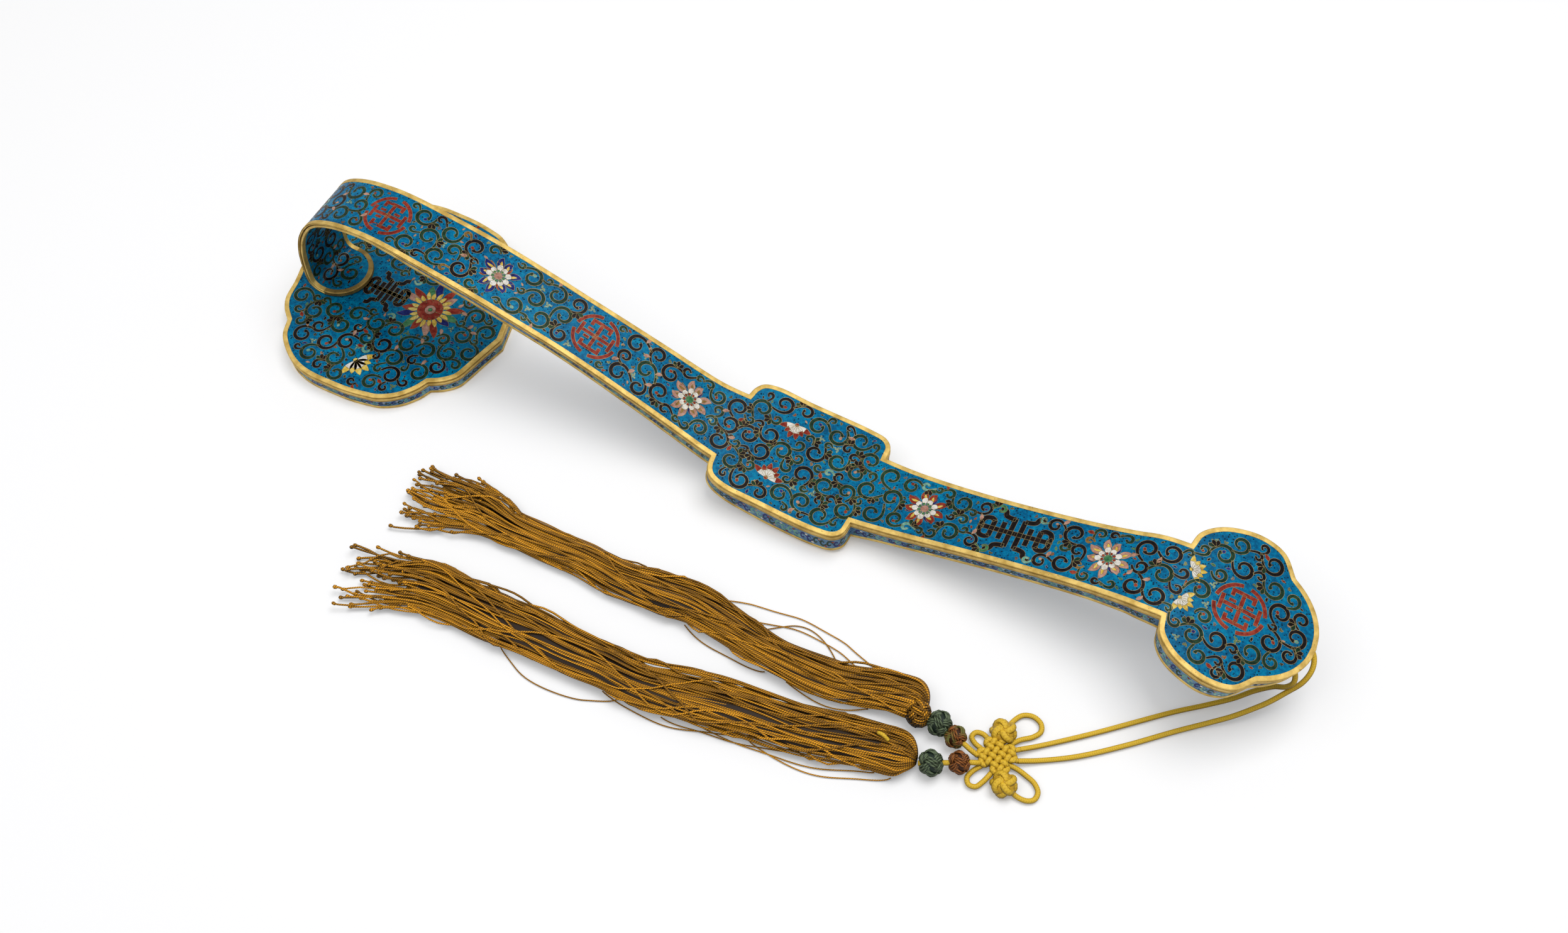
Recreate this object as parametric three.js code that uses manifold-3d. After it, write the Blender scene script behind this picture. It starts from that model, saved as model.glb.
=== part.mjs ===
// A cloisonne enamel ruyi scepter, lying face down with its cord, knot, beads and tassels.
// Millimetres. +X runs from the cloud-shaped head to the tail, +Y to the far side, +Z up.
// The head's front face lies at z = 0, and the origin is under the middle of the scepter.
// The scepter is a hollow bar of enamelled sheet: back and front panels, side bands, gilt rims.
import * as THREE from 'three';
import { mergeVertices } from 'three/addons/utils/BufferGeometryUtils.js';
import Module from 'manifold-3d';

const wasm = await Module();
wasm.setup();

// Lengths along the scepter
const HEAD_LENGTH = 99;
const RISER_SETBACK = 11.2; // from the head's end to the strap's outer face
const NECK_REACH = 197.3; // from the strap's outer face to the boss
const CURL_REACH = 40.3; // from the strap's outer face to the top of the curl
const BOSS_LENGTH = 61.2;
const LOWER_SHAFT_LENGTH = 120.4;
const TAIL_LENGTH = 54;
const TONGUE_LENGTH = 20.9; // the strap's end, soldered flat on the head's back

// Widths and heights
const HEAD_WIDTH = 102.4;
const STRAP_WIDTH = 26.8;
const CORNER_WIDTH = 32.8; // across the four concave corners beside the boss and the tail
const WAIST_WIDTH = 27.9; // the lower shaft at its narrowest
const BOSS_WIDTH = 52.6;
const TAIL_WIDTH = 65;
const NOTCH_WIDTH = 45.2; // across the two notches of the tail
const CURL_HEIGHT = 65.2;
const BOSS_SAG = 5.06; // how far the back falls from the neck to the boss's lowest point
const TAIL_RISE = 28.2; // how far the back climbs from the boss to the tail
const TAIL_DROOP = 7.6; // how far it falls again to the tail's end
const FOOT_RADIUS = 6; // the strap's outer bend where it leaves the head

// Thicknesses
const HEAD_THICKNESS = 8.4;
const STRAP_THICKNESS = 2.4;
const NECK_THICKNESS = 4.8;
const UPPER_THICKNESS = 6.4;
const CORNER_THICKNESS = 8.5;
const BOSS_THICKNESS = 12.4;
const LOWER_THICKNESS = 9.6;
const WAIST_THICKNESS = 8.3;
const TAIL_THICKNESS = 10.6;
const TIP_THICKNESS = 6;
const BOSS_CROWN = 1.4; // how far the boss's front face bulges

// Sheet, rims and bands
const RIM_WIDTH = 2.5;
const RIM_BEVEL = 0.3;
const BACK_RIM_HEIGHT = 3.9;
const BACK_RIM_SHARE = 0.41; // of the thickness, where the bar is thinner
const FRONT_RIM_HEIGHT = 1.4;
const FRONT_INSET = 2.5; // the front face is smaller than the back one by this much all round
const INSET_SLOPE_SHARE = 0.85;
const SHEET_THICKNESS = 1.2;
const BAND_THICKNESS = 1;
const LEAST_BAND_HEIGHT = 0.5;
const ENAMEL_RECESS = 0.15;
const GAP = 0.3; // the solder line between neighbouring pieces

// Cord eye under the tail
const EYE_WIRE = 1.2;
const EYE_SPAN = 5.4;
const EYE_DROP = 4.8;
const EYE_SETBACK = 9.2; // from the tail's end

// Cord, knot, beads and tassels
const CORD_DIAMETER = 2;
const KNOT_SIDE = 10.4;
const KNOT_HEIGHT = 5;
const KNOT_LIFT = 0.4;
const KNOT_ROUNDING = 2.4;
const CLUSTER_RADIUS = 4.6;
const CLUSTER_HEIGHT = 6;
const GREEN_BEAD_DIAMETER = 10;
const BROWN_BEAD_DIAMETER = 8.8;
const BEAD_LENGTH_SHARE = 0.76;
const BEAD_BORE = 2.8;
const TASSEL_HEIGHT = 11;
const FRINGE_HEIGHT = 6;
const FLUTE_DEPTH_SHARE = 0.07;
const TASSEL_FLUTES = 12;
const TASSEL_ROUNDING_SHARE = 0.04; // of its length, over which the head rounds off
const TASSEL_TIP_SHARE = 0.006;
const TASSEL_END_HEIGHT_SHARE = 0.4; // of the height, left at the very end of the head
const KNOT_TURN = 35; // degrees, the direction of its strands
const KNOT_SQUARE_TURN = 45; // degrees, from its strands to its sides

// Curve and mesh steps
const FINE_STEP = 3.7;
const LOBE_STEP = 4.4;
const COARSE_STEP = 7;
const PROFILE_STEPS = 900;
const LEAST_STATION_STEP = 0.12;
const LEAST_PANEL_HALF_WIDTH = 1.4;
const CORD_SIDES = 8;
const TUBE_STEP = 4.6;
const TONGUE_STEPS = 10;
const FRONT_PANEL_COLUMNS = 4;
const KNOT_CORNER_STEPS = 5;
const CLUSTER_SIDES = 14;
const CLUSTER_RINGS = 7;
const BEAD_SIDES = 14;
const BEAD_RINGS = 6;
const CROWN_POWER = 6; // the higher, the flatter the top of the boss's bulge

const scepterLength = RISER_SETBACK + NECK_REACH + BOSS_LENGTH + LOWER_SHAFT_LENGTH + TAIL_LENGTH;
const headEndX = -scepterLength / 2;
const riserX = headEndX + RISER_SETBACK;
const bossStartX = riserX + NECK_REACH;
const bossEndX = bossStartX + BOSS_LENGTH;
const tailStartX = bossEndX + LOWER_SHAFT_LENGTH;
const tongueZ = HEAD_THICKNESS + GAP - ENAMEL_RECESS;

// Shapes as shares of the sizes above: [along, across] or [along, height]
const curlProfileShare = [
  [0, 0.228], [0.037, 0.447], [0.141, 0.659], [0.337, 0.855], [0.628, 0.962], [1, 1],
];
const neckFallShare = [
  [0.064, 0.011], [0.153, 0.065], [0.306, 0.178], [0.465, 0.339],
  [0.624, 0.523], [0.78, 0.73], [0.936, 0.947], [1, 1],
];
const bossFallShare = [[0.25, 0.51], [0.523, 0.822], [0.817, 1], [1, 0.97]];
const lowerRiseShare = [
  [0.11, 0.058], [0.264, 0.198], [0.488, 0.444], [0.704, 0.7], [0.841, 0.868], [0.908, 0.954], [1, 1],
];
const tailFallShare = [[0.2, 0.08], [0.433, 0.276], [0.724, 0.645], [1, 1]];

const neckEdgeShare = [
  [0, 0], [0.25, 0], [0.41, 0.15], [0.52, 0.23], [0.63, 0.22], [0.7, 0.16],
  [0.77, 0.23], [0.845, 0.37], [0.917, 0.5], [0.953, 0.63], [1, 1],
];
const bossEdgeShare = [
  [0, 0], [0.013, 0.41], [0.052, 0.77], [0.147, 0.98], [0.4, 1],
  [0.817, 1], [0.94, 0.87], [0.99, 0.55], [1, 0],
];
const lowerEdgeShare = [
  [0, 1], [0.11, 0.6], [0.264, 0.22], [0.45, 0], [0.7, 0.1], [0.84, 0.48], [0.93, 0.9], [1, 1],
];
const tailLobeShare = [[0, 0], [0.024, 0.34], [0.093, 0.615], [0.202, 0.84], [0.415, 1], [0.598, 0.86]];
const notchShare = 0.72;
const tailEndShare = [[0.8, 0.88], [0.87, 0.735], [0.933, 0.545], [0.983, 0.28], [1, 0]];

const headEndShare = [
  [0, 0], [0.003, 0.096], [0.018, 0.2], [0.028, 0.273], [0.034, 0.342], [0.045, 0.434], [0.075, 0.53],
];
const headNotchShare = [0.123, 0.617];
const headLobeShare = [
  [0.15, 0.752], [0.189, 0.836], [0.25, 0.924], [0.312, 0.975], [0.379, 0.998], [0.464, 1],
  [0.56, 0.992], [0.648, 0.965], [0.697, 0.941], [0.768, 0.854], [0.821, 0.725],
];
const chinNotchShare = [0.844, 0.625];
const chinShare = [[0.894, 0.566], [0.939, 0.471], [0.956, 0.361], [0.973, 0.213], [1, 0]];

// Where the bar reaches each thickness, as shares of its stretches
const neckThicknessShares = { slim: 0.15, upper: 0.58 };
const bossThicknessShares = { start: 0.5, end: 0.85 };
const lowerThicknessShares = { start: 0.1, waist: 0.75 };
const tailThicknessShares = { start: 0.15, end: 0.45 };

// Turns of the foot's bend and of the cord eye's arch, and the tassels' sections along their length
const footTurnShares = [0, 0.25, 0.5, 0.75, 1];
const eyeTurnShares = [0.2, 0.5, 0.8];
const tasselStopShares = [0, 0.012, 0.03, 0.06, 0.12, 0.2, 0.3, 0.4, 0.5, 0.6, 0.7, 0.8, 0.9, 1];

const gilt = new THREE.MeshStandardMaterial({ color: 0xd0a23e, roughness: 0.32, metalness: 1 });
const enamel = new THREE.MeshStandardMaterial({ color: 0x0e7fb5, roughness: 0.25, metalness: 0 });
const sideEnamel = new THREE.MeshStandardMaterial({ color: 0x4f7fa0, roughness: 0.35, metalness: 0 });
const yellowSilk = new THREE.MeshStandardMaterial({ color: 0xd9b02a, roughness: 0.75, metalness: 0 });
const ochreSilk = new THREE.MeshStandardMaterial({ color: 0xa8741a, roughness: 0.8, metalness: 0 });
const greenSilk = new THREE.MeshStandardMaterial({ color: 0x3d5a48, roughness: 0.7, metalness: 0 });
const brownSilk = new THREE.MeshStandardMaterial({ color: 0x8a5a2a, roughness: 0.7, metalness: 0 });

const scepter = new THREE.Group();

/** Adds one named mesh to the scepter. */
function addPiece(name, geometry, material) {
  const mesh = new THREE.Mesh(geometry, material);
  mesh.name = name;
  scepter.add(mesh);
}

/** A smooth open curve through [x, y] or [x, y, z] rows. */
function curveThrough(rows) {
  const points = rows.map(([x, y, z = 0]) => new THREE.Vector3(x, y, z));
  return new THREE.CatmullRomCurve3(points, false, 'centripetal');
}

/** Points at even spacing on a smooth curve through 2-D points, with its ends kept. */
function smooth(points, step) {
  const curve = curveThrough(points.map(([u, v]) => [u, v]));
  const count = Math.max(2, Math.round(curve.getLength() / step));
  return curve.getSpacedPoints(count).map((point) => new THREE.Vector2(point.x, point.y));
}

/** A closed solid through a row of rings that all have the same number of points. */
function loft(rings) {
  const sides = rings[0].length;
  const positions = rings.flat().flatMap((point) => [point.x, point.y, point.z]);
  const triangles = [];
  for (let i = 0; i < rings.length - 1; i += 1) {
    for (let j = 0; j < sides; j += 1) {
      const a = i * sides + j;
      const b = i * sides + (j + 1) % sides;
      triangles.push(a, b, b + sides, a, b + sides, a + sides);
    }
  }
  const last = (rings.length - 1) * sides;
  for (let j = 1; j < sides - 1; j += 1) {
    triangles.push(0, j + 1, j, last, last + j, last + j + 1);
  }
  return facingOut(positions, triangles);
}

/** An indexed geometry whose triangles face out, whichever way they were listed. */
function facingOut(positions, triangles) {
  const corner = (index) => new THREE.Vector3().fromArray(positions, 3 * index);
  let volume = 0;
  for (let i = 0; i < triangles.length; i += 3) {
    volume += corner(triangles[i]).dot(corner(triangles[i + 1]).cross(corner(triangles[i + 2])));
  }
  if (volume < 0) {
    triangles.reverse();
  }
  const geometry = new THREE.BufferGeometry();
  geometry.setAttribute('position', new THREE.Float32BufferAttribute(positions, 3));
  geometry.setIndex(triangles);
  geometry.computeVertexNormals();
  return geometry;
}

/** A smooth value along the bar through [station, value] pairs, never past its neighbours. */
function smoothValue(table) {
  const slopes = table.map(([at, value], i) => {
    const before = table[i - 1];
    const after = table[i + 1];
    if (!before || !after || (value - before[1]) * (after[1] - value) <= 0) {
      return 0;
    }
    return (after[1] - before[1]) / (after[0] - before[0]);
  });
  return (station) => {
    let i = 0;
    while (i < table.length - 2 && station > table[i + 1][0]) {
      i += 1;
    }
    const [start, from] = table[i];
    const [end, to] = table[i + 1];
    const width = end - start;
    const t = THREE.MathUtils.clamp((station - start) / width, 0, 1);
    const rise = t * t * (3 - 2 * t);
    return from + (to - from) * rise
      + width * (slopes[i] * t * (1 - t) ** 2 - slopes[i + 1] * t ** 2 * (1 - t));
  };
}

/** The back's outline seen from the side, as a curve that stations are measured along. */
class Spine {
  constructor(bossHeight) {
    const crest = riserX + CURL_REACH;
    const neckEndHeight = bossHeight + BOSS_SAG;
    const bossEndHeight = bossHeight + BOSS_SAG * (1 - bossFallShare.at(-1)[1]);
    const tailHeight = bossEndHeight + TAIL_RISE;
    const points = [
      [riserX + TONGUE_LENGTH, tongueZ],
      [riserX + (TONGUE_LENGTH + FOOT_RADIUS) / 2, tongueZ],
    ];
    for (const turn of footTurnShares) {
      const angle = turn * Math.PI / 2;
      const x = riserX + FOOT_RADIUS * (1 - Math.sin(angle));
      points.push([x, tongueZ + FOOT_RADIUS * (1 - Math.cos(angle))]);
    }
    for (const [along, height] of curlProfileShare) {
      points.push([riserX + CURL_REACH * along, HEAD_THICKNESS + (CURL_HEIGHT - HEAD_THICKNESS) * height]);
    }
    const follow = (startX, length, startZ, change, table) => {
      table.forEach(([along, height]) => points.push([startX + length * along, startZ + change * height]));
    };
    follow(crest, NECK_REACH - CURL_REACH, CURL_HEIGHT, neckEndHeight - CURL_HEIGHT, neckFallShare);
    follow(bossStartX, BOSS_LENGTH, neckEndHeight, -BOSS_SAG, bossFallShare);
    follow(bossEndX, LOWER_SHAFT_LENGTH, bossEndHeight, TAIL_RISE, lowerRiseShare);
    follow(tailStartX, TAIL_LENGTH, tailHeight, -TAIL_DROOP, tailFallShare);
    const curve = curveThrough(points.map(([x, z]) => [x, 0, z]));
    curve.arcLengthDivisions = PROFILE_STEPS;
    this.length = curve.getLength();
    this.points = curve.getSpacedPoints(PROFILE_STEPS);
    this.crest = this.stationAt(crest);
    this.neckEnd = this.stationAt(bossStartX);
    this.bossEnd = this.stationAt(bossEndX);
    this.tailStart = this.stationAt(tailStartX);
  }

  /** The station at a place along X, on the stretch beyond the curl. */
  stationAt(x) {
    let i = this.points.length - 1;
    while (this.points[i - 1].x > x) {
      i -= 1;
    }
    const before = this.points[i - 1];
    const share = (x - before.x) / (this.points[i].x - before.x);
    return (i - 1 + share) * this.length / PROFILE_STEPS;
  }

  /** The point at a station, at a distance across the bar and a depth below its back. */
  place(station, across, depth) {
    const step = this.length / PROFILE_STEPS;
    const i = THREE.MathUtils.clamp(Math.floor(station / step), 1, PROFILE_STEPS - 2);
    const here = this.points[i];
    const along = this.points[i + 1].clone().sub(this.points[i - 1]).normalize();
    const ahead = this.points[i + 2].clone().sub(here).normalize();
    const share = station / step - i;
    const direction = along.lerp(ahead, THREE.MathUtils.clamp(share, 0, 1)).normalize();
    const point = here.clone().lerp(this.points[i + 1], share);
    return new THREE.Vector3(point.x + direction.z * depth, across, point.z - direction.x * depth);
  }
}

/** Where rims, band and sheets lie in the thickness of the bar, as depths and insets. */
function layers(thickness) {
  const backRim = Math.min(BACK_RIM_HEIGHT, BACK_RIM_SHARE * thickness);
  const frontRim = thickness - Math.min(FRONT_RIM_HEIGHT, thickness - backRim - GAP);
  const bandTop = backRim + GAP;
  const bandBottom = frontRim - GAP;
  const inset = THREE.MathUtils.clamp((bandBottom - bandTop) * INSET_SLOPE_SHARE, 0, FRONT_INSET);
  const sheet = Math.min(SHEET_THICKNESS, thickness / 2 - ENAMEL_RECESS - GAP / 2);
  return { thickness, backRim, frontRim, bandTop, bandBottom, inset, sheet };
}

/** A closed outline of named runs in the plane of the back, with mitred insets. */
class Outline {
  constructor(runs) {
    this.vertices = [];
    this.spans = {};
    for (const [name, points] of Object.entries(runs)) {
      this.spans[name] = [this.vertices.length, this.vertices.length + points.length - 1];
      this.vertices.push(...points.slice(0, -1));
    }
    const turn = Math.sign(THREE.ShapeUtils.area(this.vertices));
    const left = (from, to) => {
      const normal = new THREE.Vector2(from.y - to.y, to.x - from.x);
      return normal.normalize().multiplyScalar(turn);
    };
    this.inward = this.vertices.map((here, i) => {
      const before = left(this.vertex(i - 1), here);
      const after = left(here, this.vertex(i + 1));
      const middle = before.clone().add(after).normalize();
      return middle.multiplyScalar(1 / middle.dot(after));
    });
  }

  vertex(i) {
    return this.vertices[(i + this.vertices.length) % this.vertices.length];
  }

  /** The run's vertices with their inward directions, its ends drawn back from the mitres. */
  run(name) {
    const [first, last] = this.spans[name];
    const stops = [];
    for (let i = first; i <= last; i += 1) {
      stops.push({ at: this.vertex(i).clone(), inward: this.inward[i % this.vertices.length] });
    }
    this.drawBack(stops[0], this.vertex(first + 1));
    this.drawBack(stops.at(-1), this.vertex(last - 1));
    return stops;
  }

  drawBack(stop, towards) {
    const along = towards.clone().sub(stop.at).normalize();
    const mitre = Math.abs(along.cross(stop.inward)) / stop.inward.length();
    stop.at.addScaledVector(along, GAP / 2 / mitre);
  }

  /** Half widths of a panel at rising stations, set in from the outline's far side. */
  stations(insetAt) {
    const result = [];
    this.vertices.forEach((vertex, i) => {
      const inner = vertex.clone().addScaledVector(this.inward[i], insetAt(vertex.x));
      if (vertex.y > -GAP && inner.y >= LEAST_PANEL_HALF_WIDTH) {
        result.push(inner);
      }
    });
    result.sort((a, b) => a.x - b.x);
    return result.filter((point, i) => i === 0 || point.x - result[i - 1].x > LEAST_STATION_STEP);
  }
}

/** A strip along an outline's run, from its section as [inset, depth] corners at a station. */
function strip(stops, section, place) {
  const rings = stops.map(({ at, inward }) => section(at.x).map(([inset, depth]) => {
    const point = at.clone().addScaledVector(inward, inset);
    return place(point.x, point.y, depth);
  }));
  return loft(rings);
}

/** A sheet across an outline between two depths, its outer face crowned across the width. */
function sheet(stations, from, to, place, crown = () => 0, columns = 1) {
  const rings = stations.map(({ x: station, y: half }) => {
    const row = (depthAt) => Array.from({ length: columns + 1 }, (_, i) => {
      const share = 2 * i / columns - 1;
      return place(station, share * half, depthAt(station) + crown(station) * (1 - share * share));
    });
    return [...row(from), ...row(to).reverse()];
  });
  return loft(rings);
}

/** The section of a rim on the back edge, bevelled at its outer corner. */
function backRimSection({ backRim }) {
  return [[0, RIM_BEVEL], [RIM_BEVEL, 0], [RIM_WIDTH, 0], [RIM_WIDTH, backRim], [0, backRim]];
}

/** The section of a rim on the front edge. */
function frontRimSection({ inset, frontRim, thickness }) {
  const inner = inset + RIM_WIDTH;
  return [[inset, frontRim], [inner, frontRim], [inner, thickness], [inset, thickness]];
}

/** The section of the sloping side band between the two rims. */
function bandSection({ inset, bandTop, bandBottom }) {
  return [
    [GAP, bandTop], [GAP + BAND_THICKNESS, bandTop],
    [inset + GAP + BAND_THICKNESS, bandBottom], [inset + GAP, bandBottom],
  ];
}

/** Mirrors a far-side run to the near side, listed the other way round. */
function mirrored(points) {
  return points.map((point) => new THREE.Vector2(point.x, -point.y)).reverse();
}

const placeOnHead = (x, y, depth) => new THREE.Vector3(x, y, HEAD_THICKNESS - depth);

/** The cloud-shaped head: a shallow closed box, flat on the table. */
function makeHead() {
  const onHead = ([along, across]) => [headEndX + HEAD_LENGTH * along, across * HEAD_WIDTH / 2];
  const far = (points, step) => smooth(points.map(onHead), step);
  const halfEnd = far([...headEndShare, headNotchShare], FINE_STEP);
  const lobe = far([headNotchShare, ...headLobeShare, chinNotchShare], LOBE_STEP);
  const halfChin = far([chinNotchShare, ...chinShare], FINE_STEP);
  const outline = new Outline({
    end: [...mirrored(halfEnd).slice(0, -1), ...halfEnd],
    far: lobe,
    chin: [...halfChin, ...mirrored(halfChin).slice(1)],
    near: mirrored(lobe),
  });
  const head = layers(HEAD_THICKNESS);
  for (const name of Object.keys(outline.spans)) {
    const stops = outline.run(name);
    addPiece(`head_back_rim_${name}`, strip(stops, () => backRimSection(head), placeOnHead), gilt);
    addPiece(`head_side_band_${name}`, strip(stops, () => bandSection(head), placeOnHead), sideEnamel);
    addPiece(`head_front_rim_${name}`, strip(stops, () => frontRimSection(head), placeOnHead), gilt);
  }
  const backStations = outline.stations(() => RIM_WIDTH + GAP);
  const frontStations = outline.stations(() => head.inset + RIM_WIDTH + GAP);
  const back = sheet(backStations, () => ENAMEL_RECESS, () => ENAMEL_RECESS + head.sheet, placeOnHead);
  const front = sheet(frontStations, () => HEAD_THICKNESS - head.sheet, () => HEAD_THICKNESS, placeOnHead);
  addPiece('head_back_panel', back, enamel);
  addPiece('head_front_panel', front, enamel);
}

/** The bar's thickness at each station along a spine. */
function makeThickness(spine) {
  const at = (startX, length, share) => spine.stationAt(startX + length * share);
  const neck = (share) => at(riserX + CURL_REACH, NECK_REACH - CURL_REACH, share);
  return smoothValue([
    [0, STRAP_THICKNESS],
    [spine.crest, STRAP_THICKNESS],
    [neck(neckThicknessShares.slim), NECK_THICKNESS],
    [neck(neckThicknessShares.upper), UPPER_THICKNESS],
    [spine.neckEnd, CORNER_THICKNESS],
    [at(bossStartX, BOSS_LENGTH, bossThicknessShares.start), BOSS_THICKNESS],
    [at(bossStartX, BOSS_LENGTH, bossThicknessShares.end), BOSS_THICKNESS],
    [at(bossEndX, LOWER_SHAFT_LENGTH, lowerThicknessShares.start), LOWER_THICKNESS],
    [at(bossEndX, LOWER_SHAFT_LENGTH, lowerThicknessShares.waist), WAIST_THICKNESS],
    [at(tailStartX, TAIL_LENGTH, tailThicknessShares.start), TAIL_THICKNESS],
    [at(tailStartX, TAIL_LENGTH, tailThicknessShares.end), TAIL_THICKNESS],
    [spine.length, TIP_THICKNESS],
  ]);
}

/** How far the front face bulges at a station: flat topped over the boss, nothing elsewhere. */
function makeCrown(spine) {
  return (station) => {
    const share = 2 * (station - spine.neckEnd) / (spine.bossEnd - spine.neckEnd) - 1;
    return Math.abs(share) < 1 ? BOSS_CROWN * (1 - share ** CROWN_POWER) : 0;
  };
}

/** The spine at the height at which the boss's front face just touches the table. */
function settleOnTable() {
  const trial = new Spine(BOSS_THICKNESS);
  const thickness = makeThickness(trial);
  const crown = makeCrown(trial);
  let lowest = BOSS_THICKNESS;
  for (let i = 0; i <= PROFILE_STEPS; i += 1) {
    const station = trial.neckEnd + (trial.bossEnd - trial.neckEnd) * i / PROFILE_STEPS;
    const depth = thickness(station) - ENAMEL_RECESS + crown(station);
    lowest = Math.min(lowest, trial.place(station, 0, depth).z);
  }
  return new Spine(BOSS_THICKNESS - lowest);
}

/** The strap, shaft, boss and tail: one bent hollow bar. */
function makeShaft(spine) {
  const place = (station, across, depth) => spine.place(station, across, depth);
  const thickness = makeThickness(spine);
  const crown = makeCrown(spine);
  const strapHalf = STRAP_WIDTH / 2;
  const cornerHalf = CORNER_WIDTH / 2;
  const run = (start, end, from, to, shares, step) => smooth(
    shares.map(([along, across]) => [start + (end - start) * along, from + (to - from) * across]),
    step,
  );
  const tongue = Array.from({ length: TONGUE_STEPS + 1 }, (_, i) => {
    const angle = Math.PI * (i / TONGUE_STEPS - 1 / 2);
    return new THREE.Vector2(strapHalf * (1 - Math.cos(angle)), strapHalf * Math.sin(angle));
  });
  const neck = run(strapHalf, spine.neckEnd, strapHalf, cornerHalf, neckEdgeShare, COARSE_STEP);
  const boss = run(spine.neckEnd, spine.bossEnd, cornerHalf, BOSS_WIDTH / 2, bossEdgeShare, FINE_STEP);
  const waistHalf = WAIST_WIDTH / 2;
  const lower = run(spine.bossEnd, spine.tailStart, waistHalf, cornerHalf, lowerEdgeShare, COARSE_STEP);
  const tailLength = spine.length - spine.tailStart;
  const notch = new THREE.Vector2(spine.tailStart + tailLength * notchShare, NOTCH_WIDTH / 2);
  const tailLobe = smooth([
    ...tailLobeShare.map(([along, across]) => [
      spine.tailStart + tailLength * along, cornerHalf + (TAIL_WIDTH / 2 - cornerHalf) * across,
    ]),
    notch.toArray(),
  ], FINE_STEP);
  const halfEnd = smooth([
    notch.toArray(),
    ...tailEndShare.map(([along, across]) => [spine.tailStart + tailLength * along, notch.y * across]),
  ], FINE_STEP);
  const outline = new Outline({
    tongue,
    neck_far: neck,
    boss_far: boss,
    lower_far: lower,
    tail_far: tailLobe,
    tail_end: [...halfEnd, ...mirrored(halfEnd).slice(1)],
    tail_near: mirrored(tailLobe),
    lower_near: mirrored(lower),
    boss_near: mirrored(boss),
    neck_near: mirrored(neck),
  });
  const at = (station) => layers(thickness(station));
  const bandHeight = ({ bandTop, bandBottom }) => bandBottom - bandTop;
  for (const name of Object.keys(outline.spans)) {
    const stops = outline.run(name);
    if (name === 'tongue') {
      const full = [[0, 0], [RIM_WIDTH, 0], [RIM_WIDTH, STRAP_THICKNESS], [0, STRAP_THICKNESS]];
      addPiece('tongue_rim', strip(stops, () => full, place), gilt);
      continue;
    }
    const deep = stops.filter((stop) => bandHeight(at(stop.at.x)) > LEAST_BAND_HEIGHT);
    addPiece(`${name}_back_rim`, strip(stops, (station) => backRimSection(at(station)), place), gilt);
    addPiece(`${name}_side_band`, strip(deep, (station) => bandSection(at(station)), place), sideEnamel);
    addPiece(`${name}_front_rim`, strip(stops, (station) => frontRimSection(at(station)), place), gilt);
  }
  const backStations = outline.stations(() => RIM_WIDTH + GAP);
  const backInner = (station) => ENAMEL_RECESS + at(station).sheet;
  const back = sheet(backStations, () => ENAMEL_RECESS, backInner, place);
  addPiece('shaft_back_panel', back, enamel);
  const frontStations = outline.stations((station) => at(station).inset + RIM_WIDTH + GAP);
  const innerDepth = (station) => thickness(station) - ENAMEL_RECESS - at(station).sheet;
  const outerDepth = (station) => thickness(station) - ENAMEL_RECESS;
  const front = sheet(frontStations, innerDepth, outerDepth, place, crown, FRONT_PANEL_COLUMNS);
  addPiece('shaft_front_panel', front, enamel);
  return { place, thickness };
}

/** A closed tube of even thickness along hand-chosen points. */
function tube(points, diameter) {
  const path = curveThrough(points);
  const section = new THREE.Shape();
  for (let i = 0; i < CORD_SIDES; i += 1) {
    const angle = 2 * Math.PI * i / CORD_SIDES;
    const corner = [diameter / 2 * Math.cos(angle), diameter / 2 * Math.sin(angle)];
    if (i === 0) {
      section.moveTo(...corner);
    } else {
      section.lineTo(...corner);
    }
  }
  section.closePath();
  const steps = Math.max(2, Math.round(path.getLength() / TUBE_STEP));
  return new THREE.ExtrudeGeometry(section, { steps, bevelEnabled: false, extrudePath: path });
}

/** The small staple under the tail that the cord is threaded through. */
function makeCordEye({ place, thickness }, spine) {
  const station = spine.length - EYE_SETBACK;
  const half = EYE_SPAN / 2;
  const points = [[-half, 0], [-half, EYE_DROP / 2]];
  for (const turn of eyeTurnShares) {
    const angle = Math.PI * turn;
    points.push([-half * Math.cos(angle), EYE_DROP / 2 + EYE_DROP / 2 * Math.sin(angle)]);
  }
  points.push([half, EYE_DROP / 2], [half, 0]);
  const path = points.map(([along, drop]) => {
    const front = thickness(station + along) - ENAMEL_RECESS + GAP;
    return place(station + along, 0, front + drop).toArray();
  });
  addPiece('cord_eye', tube(path, EYE_WIRE), gilt);
}

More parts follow.
